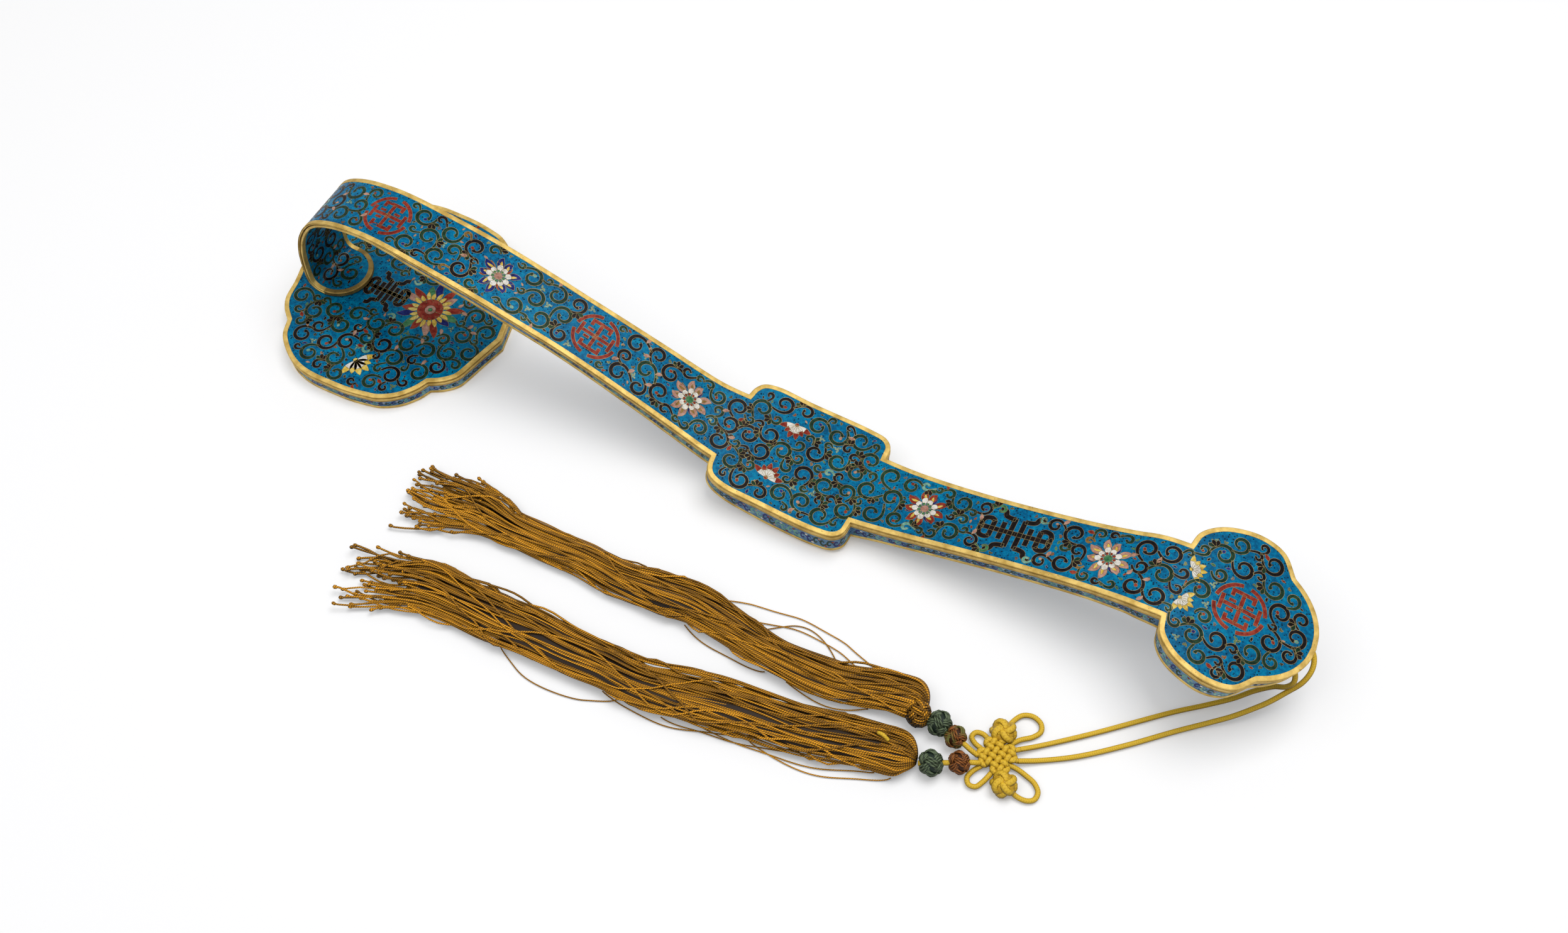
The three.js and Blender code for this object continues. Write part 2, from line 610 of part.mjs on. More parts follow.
// The cord's two strands from the eye to the knot, as chosen points
const farStrandRoute = [
  [211.5, -0.15, 27], [211.5, -2.4, 26.9], [213.2, -4.9, 26.6], [217.4, -5.6, 25.8], [219.3, -7.4, 24.4],
  [219.9, -9.2, 21.9], [218.2, -9.9, 18.2], [214.7, -9.6, 14.2], [209.3, -11.8, 9.2], [203.9, -15.9, 5.5],
  [196, -21.4, 2.5], [186.5, -28.6, 1.2], [175.1, -38.9, 1.15], [163.6, -49.4, 1.15], [152, -59.4, 1.15],
  [145.6, -64.8, 1.5], [141.2, -68.6, 2.6],
];
const nearStrandRoute = [
  [211.5, 0.15, 27], [211.5, 2.4, 26.9], [213.2, 4.8, 26.8], [217.3, 5.2, 26.6], [219.9, 4.6, 26.7],
  [222.3, 2.6, 26.5], [223.7, -0.3, 25.7], [224, -3.6, 23.9], [222.8, -7.1, 20.7], [219.3, -10.7, 15.8],
  [215.2, -15.2, 12.2], [210.4, -19.5, 9], [205.5, -23.3, 5.7], [199.4, -27.6, 2.8], [189.3, -35.9, 1.3],
  [175.1, -49.1, 1.15], [160.6, -61.3, 1.15], [148.9, -69, 1.3], [142.1, -73.2, 2.7],
];
// The short cords from the knot through the beads to the tassels
const farTasselCord = [
  [128.4, -78, 3.4], [125.6, -77.7, 4.4], [122.8, -76.94, 4.9], [118.5, -75.7, 5], [111.2, -73.6, 5.2],
  [105.2, -71.88, 5.35],
];
const nearTasselCord = [
  [130.2, -80.4, 3.6], [129, -81.3, 4.5], [127.4, -82.17, 4.92], [123.6, -84.2, 5], [114.6, -89, 5.2],
  [110.5, -91.19, 5.3],
];
const farBeads = [['brown', [118.5, -75.7, 5]], ['green', [111.2, -73.6, 5.2]]];
const nearBeads = [['brown', [123.6, -84.2, 5]], ['green', [114.6, -89, 5.2]]];
const knotCentre = [134.6, -74.8];
const clusterCentres = [[133.2, -65.4], [141, -83.8]];
const earRoutes = [
  [
    [134.2, -64, 2.2], [134.6, -59.4, 1.2], [137, -55.3, 1.2], [140.8, -54, 1.2], [144.3, -55.4, 1.2],
    [145.4, -58.2, 1.2], [143.6, -61.4, 1.2], [139.6, -65, 1.5], [136.4, -70, 2.4],
  ],
  [
    [138.4, -76, 2.4], [142.8, -75.6, 1.4], [146.8, -76.4, 1.2], [150.7, -77.8, 1.2], [153.1, -80.4, 1.2],
    [152.9, -83.4, 1.2], [150.6, -85.1, 1.2], [146.4, -85.2, 1.4], [142.4, -83.6, 2.4],
  ],
  [
    [132.6, -73, 2.4], [130.2, -70.6, 1.9], [127, -68.8, 1.6], [124.2, -69.4, 1.6], [123.5, -71.6, 1.6],
    [125.4, -73.4, 1.8], [128, -74.4, 2.1], [132, -76, 2.4],
  ],
  [
    [134, -77.2, 2.4], [130.9, -80.8, 2.1], [128.9, -83.9, 1.8], [128.2, -86.9, 1.6], [129.7, -88.9, 1.6],
    [132.2, -88.6, 1.6], [133.8, -86, 1.8], [135, -82, 2.4],
  ],
];
const farTasselRoute = [
  [104.5, -69.4, 15.5], [98.6, -69.2, 17], [88, -71, 17], [69, -75.6, 17.6], [44, -75.8, 18.4],
  [14, -69.4, 19.6], [-21.9, -69.4, 19], [-57.2, -69.7, 22.6], [-88, -71, 26], [-110.5, -75.6, 25],
];
const nearTasselRoute = [
  [109.4, -90.4, 16.5], [104, -90.6, 19.6], [91, -92.8, 20.4], [66, -97.2, 21.4], [36, -99.8, 25],
  [4, -104, 27.4], [-30, -103.2, 28], [-62, -103.6, 26], [-90, -108, 22.4], [-112.5, -120.6, 14],
];

/** A closed three.js geometry as a manifold solid. */
function toSolid(geometry) {
  const bare = geometry.clone();
  bare.deleteAttribute('normal');
  bare.deleteAttribute('uv');
  const merged = mergeVertices(bare, 1e-4);
  return new wasm.Manifold(new wasm.Mesh({
    numProp: 3,
    vertProperties: new Float32Array(merged.attributes.position.array),
    triVerts: new Uint32Array(merged.index.array),
  }));
}

/** A manifold solid as a three.js geometry. */
function toGeometry(solid) {
  const mesh = solid.getMesh();
  const geometry = new THREE.BufferGeometry();
  geometry.setAttribute('position', new THREE.BufferAttribute(new Float32Array(mesh.vertProperties), 3));
  geometry.setIndex(new THREE.BufferAttribute(new Uint32Array(mesh.triVerts), 1));
  geometry.computeVertexNormals();
  return geometry;
}

/** The woven knot: its square, two side clusters and four ears, one piece of silk cord. */
function makeKnot() {
  const half = KNOT_SIDE / 2;
  const square = new THREE.Shape();
  square.absarc(half - KNOT_ROUNDING, half - KNOT_ROUNDING, KNOT_ROUNDING, 0, Math.PI / 2);
  square.absarc(KNOT_ROUNDING - half, half - KNOT_ROUNDING, KNOT_ROUNDING, Math.PI / 2, Math.PI);
  square.absarc(KNOT_ROUNDING - half, KNOT_ROUNDING - half, KNOT_ROUNDING, Math.PI, 1.5 * Math.PI);
  square.absarc(half - KNOT_ROUNDING, KNOT_ROUNDING - half, KNOT_ROUNDING, 1.5 * Math.PI, 2 * Math.PI);
  const options = { depth: KNOT_HEIGHT, bevelEnabled: false, curveSegments: KNOT_CORNER_STEPS };
  const body = new THREE.ExtrudeGeometry(square, options);
  body.rotateZ(THREE.MathUtils.degToRad(KNOT_TURN + KNOT_SQUARE_TURN));
  body.translate(...knotCentre, KNOT_LIFT);
  let knot = toSolid(body);
  for (const [x, y] of clusterCentres) {
    const cluster = new THREE.SphereGeometry(CLUSTER_RADIUS, CLUSTER_SIDES, CLUSTER_RINGS);
    cluster.rotateX(Math.PI / 2);
    cluster.scale(1, 1, CLUSTER_HEIGHT / 2 / CLUSTER_RADIUS);
    cluster.translate(x, y, KNOT_LIFT + CLUSTER_HEIGHT / 2);
    knot = knot.add(toSolid(cluster));
  }
  for (const route of earRoutes) {
    knot = knot.add(toSolid(tube(route, CORD_DIAMETER)));
  }
  addPiece('knot', toGeometry(knot), yellowSilk);
}

/** A round woven bead with a bore, strung along a direction. */
function makeBead(name, diameter, centre, direction, material) {
  const radius = diameter / 2;
  const half = radius * BEAD_LENGTH_SHARE;
  const edge = Math.acos(BEAD_BORE / diameter);
  const profile = Array.from({ length: BEAD_RINGS + 1 }, (_, i) => {
    const angle = edge * (2 * i / BEAD_RINGS - 1);
    return new THREE.Vector2(radius * Math.cos(angle), half * Math.sin(angle));
  });
  profile.push(profile[0].clone());
  const geometry = new THREE.LatheGeometry(profile, BEAD_SIDES);
  const turn = new THREE.Quaternion().setFromUnitVectors(new THREE.Vector3(0, 1, 0), direction);
  geometry.applyQuaternion(turn);
  geometry.translate(...centre);
  const closed = toGeometry(toSolid(geometry));
  addPiece(name, closed, material);
}

/** A tassel lying on the table: a flattened fluted bundle with a rounded head. */
function makeTassel(name, route) {
  const curve = curveThrough(route.map(([x, y]) => [x, y]));
  const lengths = curve.getLengths(route.length - 1);
  const total = lengths.at(-1);
  const widths = smoothValue(route.map(([, , width], i) => [lengths[i], width]));
  const points = TASSEL_FLUTES * 2;
  const rings = tasselStopShares.map((share) => {
    const centre = curve.getPointAt(share);
    const along = curve.getTangentAt(share);
    const across = new THREE.Vector3(-along.y, along.x, 0).normalize();
    const round = Math.sqrt(Math.min(1, (share + TASSEL_TIP_SHARE) / TASSEL_ROUNDING_SHARE));
    const halfWidth = widths(share * total) / 2 * round;
    const fullHeight = THREE.MathUtils.lerp(TASSEL_HEIGHT, FRINGE_HEIGHT, Math.sqrt(share));
    const height = fullHeight * THREE.MathUtils.lerp(TASSEL_END_HEIGHT_SHARE, 1, round);
    return Array.from({ length: points }, (_, i) => {
      const angle = 2 * Math.PI * i / points;
      const flute = i % 2 === 0 ? 1 : 1 - FLUTE_DEPTH_SHARE;
      const lift = height / 2 * (1 + Math.sin(angle) * flute);
      return centre.clone().addScaledVector(across, halfWidth * Math.cos(angle) * flute).setZ(lift);
    });
  });
  addPiece(name, loft(rings), ochreSilk);
}

/** The silk group that lies free on the table. */
function makeCordGroup() {
  addPiece('cord_far_strand', tube(farStrandRoute, CORD_DIAMETER), yellowSilk);
  addPiece('cord_near_strand', tube(nearStrandRoute, CORD_DIAMETER), yellowSilk);
  makeKnot();
  addPiece('tassel_cord_far', tube(farTasselCord, CORD_DIAMETER), yellowSilk);
  addPiece('tassel_cord_near', tube(nearTasselCord, CORD_DIAMETER), yellowSilk);
  for (const [side, beads] of [['far', farBeads], ['near', nearBeads]]) {
    const [start, end] = beads.map(([, centre]) => new THREE.Vector3(...centre));
    const direction = end.clone().sub(start).normalize();
    for (const [colour, centre] of beads) {
      const isGreen = colour === 'green';
      const diameter = isGreen ? GREEN_BEAD_DIAMETER : BROWN_BEAD_DIAMETER;
      makeBead(`bead_${colour}_${side}`, diameter, centre, direction, isGreen ? greenSilk : brownSilk);
    }
  }
  makeTassel('tassel_far', farTasselRoute);
  makeTassel('tassel_near', nearTasselRoute);
}

makeHead();
const spine = settleOnTable();
const shaft = makeShaft(spine);
makeCordEye(shaft, spine);
makeCordGroup();

export default scepter;
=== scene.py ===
"""Looks of a cloisonne ruyi scepter: enamelled bar, gilt rims, silk cord, woven beads and tassels.

The scepter lies face down. X runs from the cloud-shaped head to the tail, Y to the far side, Z up.
Sizes are written in millimetres, as a maker would, and become metres only when a mesh is made.
"""

from __future__ import annotations

import logging
import math
from dataclasses import dataclass, field
from enum import Enum
from typing import Callable, Sequence

import bmesh
import bpy
import numpy as np
from mathutils import Matrix, Vector

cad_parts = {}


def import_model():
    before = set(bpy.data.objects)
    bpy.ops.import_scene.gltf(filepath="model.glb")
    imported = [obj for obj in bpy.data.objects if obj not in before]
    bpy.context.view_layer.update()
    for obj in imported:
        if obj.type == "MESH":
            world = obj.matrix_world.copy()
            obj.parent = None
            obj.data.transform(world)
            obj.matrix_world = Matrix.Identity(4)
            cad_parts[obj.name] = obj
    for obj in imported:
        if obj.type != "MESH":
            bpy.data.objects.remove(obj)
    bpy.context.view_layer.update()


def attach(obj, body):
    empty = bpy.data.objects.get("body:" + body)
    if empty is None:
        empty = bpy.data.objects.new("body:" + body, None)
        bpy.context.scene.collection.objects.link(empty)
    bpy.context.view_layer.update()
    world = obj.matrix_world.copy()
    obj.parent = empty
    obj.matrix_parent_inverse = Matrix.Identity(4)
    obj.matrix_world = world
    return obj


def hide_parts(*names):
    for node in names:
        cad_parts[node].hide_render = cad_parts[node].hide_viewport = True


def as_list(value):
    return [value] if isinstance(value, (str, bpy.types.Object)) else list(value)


logging.basicConfig(level=logging.INFO, format="%(message)s")
LOG = logging.getLogger("scepter")

METRES_PER_MM = 0.001
SEED = 20

# One value for each of a row of places, and one point or direction for each
Row = np.ndarray
Points = np.ndarray
Place = Callable[[Row, Row, Row | float], Points]
Shares = Sequence[tuple[float, float]]
Triple = tuple[float, float, float]
Strips = list[tuple[Points, Points, float]]
Piece = bpy.types.Object
Finish = bpy.types.Material


class Side(Enum):
    """The two long sides of the scepter."""

    FAR = 1
    NEAR = -1


class Slot(Enum):
    """The record's material slots."""

    GILT = "gilt"
    ENAMEL = "enamel"
    SIDE_ENAMEL = "side_enamel"
    YELLOW_SILK = "yellow_silk"
    OCHRE_SILK = "ochre_silk"
    GREEN_SILK = "green_silk"
    BROWN_SILK = "brown_silk"


# Small tools


def colour(code: str) -> tuple[float, float, float, float]:
    """Turn an sRGB hex colour into the linear colour that a shader takes.

    Args:
        code: Six hex digits, such as "0e7fb5".

    Returns:
        Red, green, blue and alpha, linear.
    """
    channels = [int(code[i : i + 2], 16) / 255 for i in (0, 2, 4)]
    linear = [c / 12.92 if c <= 0.04045 else ((c + 0.055) / 1.055) ** 2.4 for c in channels]
    return (*linear, 1.0)


def unit(vectors: Points) -> Points:
    """Return vectors scaled to a length of one, along the last axis."""
    return vectors / np.maximum(np.linalg.norm(vectors, axis=-1, keepdims=True), 1e-12)


def ray(angle: Row | float) -> Points:
    """Return the flat unit direction at an angle, or one for each of a row of angles."""
    return np.stack([np.cos(angle), np.sin(angle)], axis=-1)


def travelled(points: Points) -> Row:
    """Return the distance along a polyline at each of its points."""
    steps = np.linalg.norm(np.diff(points, axis=0), axis=1)
    return np.concatenate([[0.0], np.cumsum(steps)])


def looked_up(at: Row, along: Row, points: Points) -> Points:
    """Return points between a polyline's own, at distances along it."""
    return np.stack([np.interp(at, along, points[:, i]) for i in range(points.shape[1])], axis=-1)


def resampled(points: Points, count: int) -> Points:
    """Return `count` points at even spacing along a polyline."""
    along = travelled(points)
    return looked_up(np.linspace(0, along[-1], count), along, points)


def curve_through(points: Sequence[Sequence[float]], per_span: int = 24) -> Points:
    """Draw a smooth curve through given points, with its ends kept.

    Args:
        points: The points, in two or three dimensions.
        per_span: Samples between neighbouring points.

    Returns:
        The samples of a centripetal Catmull-Rom curve.
    """
    knots = np.asarray(points, dtype=float)
    knots = np.vstack([2 * knots[0] - knots[1], knots, 2 * knots[-1] - knots[-2]])
    gaps = np.sqrt(np.maximum(np.linalg.norm(np.diff(knots, axis=0), axis=1), 1e-9))
    share = np.linspace(0, 1, per_span, endpoint=False)[:, None]
    spans = []
    for i in range(1, len(knots) - 2):
        before, here, there, after = knots[i - 1 : i + 3]
        first, middle, last = gaps[i - 1 : i + 2]
        leaving = (here - before) / first - (there - before) / (first + middle) + (there - here) / middle
        arriving = (there - here) / middle - (after - here) / (middle + last) + (after - there) / last
        leaving, arriving = leaving * middle, arriving * middle
        square, cube = share**2, share**3
        spans.append(
            here * (2 * cube - 3 * square + 1)
            + there * (3 * square - 2 * cube)
            + leaving * (cube - 2 * square + share)
            + arriving * (cube - square)
        )
    return np.vstack([*spans, knots[-2][None]])


def even_curve(points: Sequence[Sequence[float]], step: float) -> Points:
    """Return a smooth curve through points, sampled at even steps."""
    drawn = curve_through(points)
    return resampled(drawn, max(3, int(round(travelled(drawn)[-1] / step)) + 1))


def smooth_value(table: Shares) -> Callable[[Row], Row]:
    """Make a smooth function through (place, value) pairs that never passes its neighbours."""
    at = np.array([row[0] for row in table])
    value = np.array([row[1] for row in table])
    slope = np.zeros(len(at))
    rising = (value[1:-1] - value[:-2]) * (value[2:] - value[1:-1]) > 0
    slope[1:-1] = np.where(rising, (value[2:] - value[:-2]) / (at[2:] - at[:-2]), 0)

    def look_up(place: Row) -> Row:
        """Return the value at each place."""
        place = np.asarray(place, dtype=float)
        i = np.clip(np.searchsorted(at, place, side="left") - 1, 0, len(at) - 2)
        width = at[i + 1] - at[i]
        t = np.clip((place - at[i]) / width, 0, 1)
        rise = t * t * (3 - 2 * t)
        bend = slope[i] * t * (1 - t) ** 2 - slope[i + 1] * t**2 * (1 - t)
        return value[i] + (value[i + 1] - value[i]) * rise + width * bend

    return look_up


def make_object(
    name: str,
    vertices: Points,
    faces: Sequence[Sequence[int]] | Points,
    material: Finish,
    uv: Points | None = None,
    smooth: bool = True,
) -> Piece:
    """Make a mesh object at the origin from points in millimetres.

    Args:
        name: The piece's name.
        vertices: Its points in millimetres.
        faces: Lists of corner indices, facing outwards.
        material: Its finish.
        uv: One pair per vertex, or None.
        smooth: Whether its faces shade smoothly.

    Returns:
        The new object.
    """
    mesh = bpy.data.meshes.new(name)
    faces = faces.tolist() if isinstance(faces, np.ndarray) else faces
    mesh.from_pydata((np.asarray(vertices) * METRES_PER_MM).tolist(), [], faces)
    if uv is not None:
        layer = mesh.uv_layers.new(name="along_and_round")
        corners = np.zeros(len(mesh.loops), dtype=np.int32)
        mesh.loops.foreach_get("vertex_index", corners)
        layer.data.foreach_set("uv", np.asarray(uv, dtype=np.float32)[corners].ravel())
    if smooth:
        mesh.polygons.foreach_set("use_smooth", np.ones(len(mesh.polygons), dtype=bool))
    mesh.materials.append(material)
    mesh.update()
    made = bpy.data.objects.new(name, mesh)
    bpy.context.scene.collection.objects.link(made)
    return made


def only(target: Piece) -> None:
    """Select and activate one object alone."""
    if bpy.context.object and bpy.context.object.mode != "OBJECT":
        bpy.ops.object.mode_set(mode="OBJECT")
    bpy.ops.object.select_all(action="DESELECT")
    target.select_set(True)
    bpy.context.view_layer.objects.active = target


def settle(target: Piece, name: str, material: Finish) -> Piece:
    """Name a primitive, move its place into its mesh, and give it its finish."""
    only(target)
    bpy.ops.object.transform_apply(location=True, rotation=True, scale=True)
    target.name = name
    target.data.name = name
    target.data.materials.clear()
    target.data.materials.append(material)
    return target


def crease_edges(target: Piece, degrees: float = 32) -> None:
    """Shade a piece smooth but for its sharp edges."""
    only(target)
    bpy.ops.object.shade_smooth_by_angle(angle=math.radians(degrees))


def stands_for(piece: Piece, slot: Slot, *nodes: str, body: str = "scepter") -> Piece:
    """Attach a piece to the body it rides on and hide the nodes it replaces.

    Args:
        piece: The piece.
        slot: Not used.
        *nodes: The solids it replaces, if any.
        body: The body it rides on.

    Returns:
        The piece.
    """
    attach(piece, body)
    if nodes:
        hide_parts(*nodes)
    LOG.info("%s rides on %s, %d faces", piece.name, body, len(piece.data.polygons))
    return piece


def frames_along(path: Points) -> tuple[Points, Points, Points]:
    """Carry a pair of side directions along a path without twisting.

    Args:
        path: The path's points.

    Returns:
        The unit tangents and two unit directions square to them.
    """
    tangents = unit(np.gradient(path, axis=0))
    up = np.array([0.0, 0.0, 1.0]) if abs(tangents[0][2]) < 0.9 else np.array([1.0, 0.0, 0.0])
    first = unit(np.cross(up, tangents[0]))
    sides = [first]
    for tangent in tangents[1:]:
        side = sides[-1] - tangent * np.dot(sides[-1], tangent)
        sides.append(side / max(np.linalg.norm(side), 1e-12))
    sides = np.array(sides)
    return tangents, sides, np.cross(tangents, sides)


@dataclass
class TubeMesh:
    """Many round cords gathered into one mesh, with their length and turn as UV."""

    vertices: list[Points] = field(default_factory=list)
    faces: list[list[int]] = field(default_factory=list)
    uv: list[Points] = field(default_factory=list)
    count: int = 0

    def add(self, path: Points, radius: Points | float, sides: int, closed: bool = False) -> None:
        """Add one cord.

        Args:
            path: Its centre line in millimetres.
            radius: Its radius, one value or one for each point.
            sides: Points round its section.
            closed: Whether its end joins its start.
        """
        if closed:
            path = path[:-1] if np.allclose(path[0], path[-1]) else path
        stops = len(path)
        radii = np.broadcast_to(np.asarray(radius, dtype=float), (stops,))
        wrapped = np.vstack([path[-3:], path, path[:3]]) if closed else path
        _, side, lift = frames_along(wrapped)
        if closed:
            side, lift = side[3:-3], lift[3:-3]
        turn = np.linspace(0, 2 * math.pi, sides + 1)
        ring = np.cos(turn)[None, :, None] * side[:, None] + np.sin(turn)[None, :, None] * lift[:, None]
        body = path[:, None] + ring * radii[:, None, None]
        along = travelled(path)
        uv = np.stack(np.broadcast_arrays(along[:, None], turn[None] / (2 * math.pi)), axis=-1)
        start = self.count
        self.vertices.append(body.reshape(-1, 3))
        self.uv.append(uv.reshape(-1, 2))
        width = sides + 1
        rows = stops if closed else stops - 1
        for i in range(rows):
            a = start + i * width
            b = start + ((i + 1) % stops) * width
            self.faces.extend([a + j, a + j + 1, b + j + 1, b + j] for j in range(sides))
        self.count += stops * width
        if not closed:
            self._cap(start, width, path[0], uv[0, 0], True)
            self._cap(start + (stops - 1) * width, width, path[-1], uv[-1, 0], False)

    def _cap(self, first: int, width: int, centre: Points, uv: Points, is_start: bool) -> None:
        """Close one end of a cord with a fan."""
        self.vertices.append(centre[None])
        self.uv.append(uv[None])
        middle = self.count
        self.count += 1
        for j in range(width - 1):
            pair = [first + j + 1, first + j] if is_start else [first + j, first + j + 1]
            self.faces.append([*pair, middle])

    def build(self, name: str, material: Finish) -> Piece:
        """Make the object."""
        return make_object(name, np.vstack(self.vertices), self.faces, material, np.vstack(self.uv))


# Finishes


def add_node(
    tree: bpy.types.NodeTree, kind: str, settings: dict | None = None, inputs: dict | None = None,
    stops: Sequence[tuple[float, tuple]] = (),
) -> bpy.types.Node:
    """Add a node with its settings and links.

    Args:
        tree: The material's tree.
        kind: The node's type, without its leading "ShaderNode".
        settings: Its own properties.
        inputs: What each input takes, as feed has it.
        stops: The places and colours of a colour ramp.

    Returns:
        The node.
    """
    node = tree.nodes.new(f"ShaderNode{kind}")
    for key, value in (settings or {}).items():
        setattr(node, key, value)
    feed(node, inputs or {})
    if stops:
        band = node.color_ramp
        while len(band.elements) < len(stops):
            band.elements.new(0.5)
        for element, (at, value) in zip(band.elements, stops):
            element.position = at
            element.color = value
    return node


def feed(node: bpy.types.Node, inputs: dict) -> None:
    """Set or link a node's inputs.

    Args:
        node: The node.
        inputs: Input name or index to a value, a socket, or a node whose first output is linked.
    """
    for key, value in inputs.items():
        if isinstance(value, bpy.types.Node):
            value = value.outputs[0]
        if isinstance(value, bpy.types.NodeSocket):
            node.id_data.links.new(value, node.inputs[key])
        else:
            node.inputs[key].default_value = value


def new_material(name: str) -> tuple[Finish, bpy.types.NodeTree, bpy.types.Node]:
    """Make a material with a plain shader linked to its output."""
    material = bpy.data.materials.new(name)
    material.use_nodes = True
    tree = material.node_tree
    shader = next(node for node in tree.nodes if node.type == "BSDF_PRINCIPLED")
    return material, tree, shader


def grey(level: float) -> tuple[float, float, float, float]:
    """Return a grey as a ramp colour."""
    return (level, level, level, 1.0)


def per_metre(size_mm: float) -> float:
    """Return the scale of a texture whose features are this many millimetres wide."""
    return 1 / (size_mm * METRES_PER_MM)


@dataclass(frozen=True)
class Enamel:
    """Cloisonne enamel: powdered glass fired in a brass cell and polished flush.

    Ground glass leaves a cloudy mottle about 1.5 mm across and dark pinholes up to 0.5 mm wide,
    burst bubbles that polishing opened. The polish gives a soft gloss, duller in the pinholes.
    """

    name: str
    base: str
    light: str
    dark: str
    pinhole: str
    pinholes: float = 0.45
    roughness: float = 0.24
    dull_roughness: float = 0.6
    mottle_mm: float = 1.5
    patch_mm: float = 14
    pinhole_mm: float = 0.95

    def build(self) -> Finish:
        """Make the material."""
        material, tree, shader = new_material(self.name)
        place = add_node(tree, "TexCoord").outputs["Object"]
        cloud = add_node(tree, "TexNoise", inputs={
            "Vector": place, "Scale": per_metre(self.mottle_mm), "Detail": 4, "Roughness": 0.62,
        })
        broad = add_node(tree, "TexNoise", inputs={
            "Vector": place, "Scale": per_metre(self.patch_mm), "Detail": 2,
        })
        mixed = add_node(tree, "Math", {"operation": "MULTIPLY_ADD"}, {0: broad, 1: 0.45, 2: cloud})
        tint = add_node(tree, "ValToRGB", inputs={"Fac": mixed}, stops=[
            (0.54, colour(self.dark)), (0.72, colour(self.base)), (0.92, colour(self.light)),
        ])
        cells = add_node(tree, "TexVoronoi", inputs={
            "Vector": place, "Scale": per_metre(self.pinhole_mm), "Randomness": 1,
        })
        chance = add_node(tree, "SeparateColor", inputs={"Color": cells.outputs["Color"]})
        size = add_node(tree, "Math", {"operation": "MULTIPLY"}, {0: chance, 1: self.pinholes})
        hole = add_node(tree, "Math", {"operation": "SUBTRACT"}, {0: size, 1: cells.outputs["Distance"]})
        mask = add_node(tree, "ValToRGB", inputs={"Fac": hole}, stops=[(0, grey(0)), (0.14, grey(0.9))])
        paint = add_node(tree, "Mix", {"data_type": "RGBA"}, {
            "Factor": mask, 6: tint, 7: colour(self.pinhole),
        })
        feed(shader, {
            "Base Color": paint.outputs[2],
            "Roughness": add_node(tree, "MapRange", inputs={
                "Value": mask, "To Min": self.roughness, "To Max": self.dull_roughness,
            }),
            "Normal": add_node(tree, "Bump", {"invert": True}, {
                "Height": mask, "Strength": 0.35, "Distance": 0.1 * METRES_PER_MM,
            }),
            "IOR": 1.52,
            "Specular IOR Level": 0.06,
        })
        return material


@dataclass(frozen=True)
class GiltBrass:
    """Fire-gilt brass: gold on rolled brass strip, filed and burnished by hand.

    The eye sees a warm gold with brown rubbed patches a few millimetres long, small pits
    about 0.4 mm wide, and a slightly uneven burnish.
    """

    name: str
    gold: str = "ceb36c"
    deep: str = "a98c49"
    wear: str = "5a3d16"
    roughness: float = 0.6
    wear_share: float = 0.31
    worn_roughness: float = 0.62
    burnish_mm: float = 5
    wear_mm: float = 2.6
    pit_mm: float = 1.5

    def build(self) -> Finish:
        """Make the material."""
        material, tree, shader = new_material(self.name)
        place = add_node(tree, "TexCoord").outputs["Object"]
        burnish = add_node(tree, "TexNoise", inputs={
            "Vector": place, "Scale": per_metre(self.burnish_mm), "Detail": 5, "Roughness": 0.6,
        })
        tone = add_node(tree, "ValToRGB", inputs={"Fac": burnish}, stops=[
            (0.36, colour(self.deep)), (0.62, colour(self.gold)),
        ])
        rubbed = add_node(tree, "TexNoise", inputs={
            "Vector": place, "Scale": per_metre(self.wear_mm), "Detail": 7, "Roughness": 0.72,
        })
        worn = add_node(tree, "ValToRGB", inputs={"Fac": rubbed}, stops=[
            (self.wear_share - 0.05, grey(1)), (self.wear_share + 0.04, grey(0)),
        ])
        cells = add_node(tree, "TexVoronoi", inputs={"Vector": place, "Scale": per_metre(self.pit_mm)})
        pits = add_node(tree, "ValToRGB", inputs={"Fac": cells}, stops=[(0.06, grey(0.8)), (0.13, grey(0))])
        spoiled = add_node(tree, "Math", {"operation": "MAXIMUM"}, {0: worn, 1: pits})
        paint = add_node(tree, "Mix", {"data_type": "RGBA"}, {
            "Factor": spoiled, 6: tone, 7: colour(self.wear),
        })
        feed(shader, {
            "Base Color": paint.outputs[2],
            "Roughness": add_node(tree, "MapRange", inputs={
                "Value": spoiled, "To Min": self.roughness, "To Max": self.worn_roughness,
            }),
            "Normal": add_node(tree, "Bump", inputs={
                "Height": burnish, "Strength": 0.3, "Distance": 0.25 * METRES_PER_MM,
            }),
            "Metallic": 1,
        })
        return material


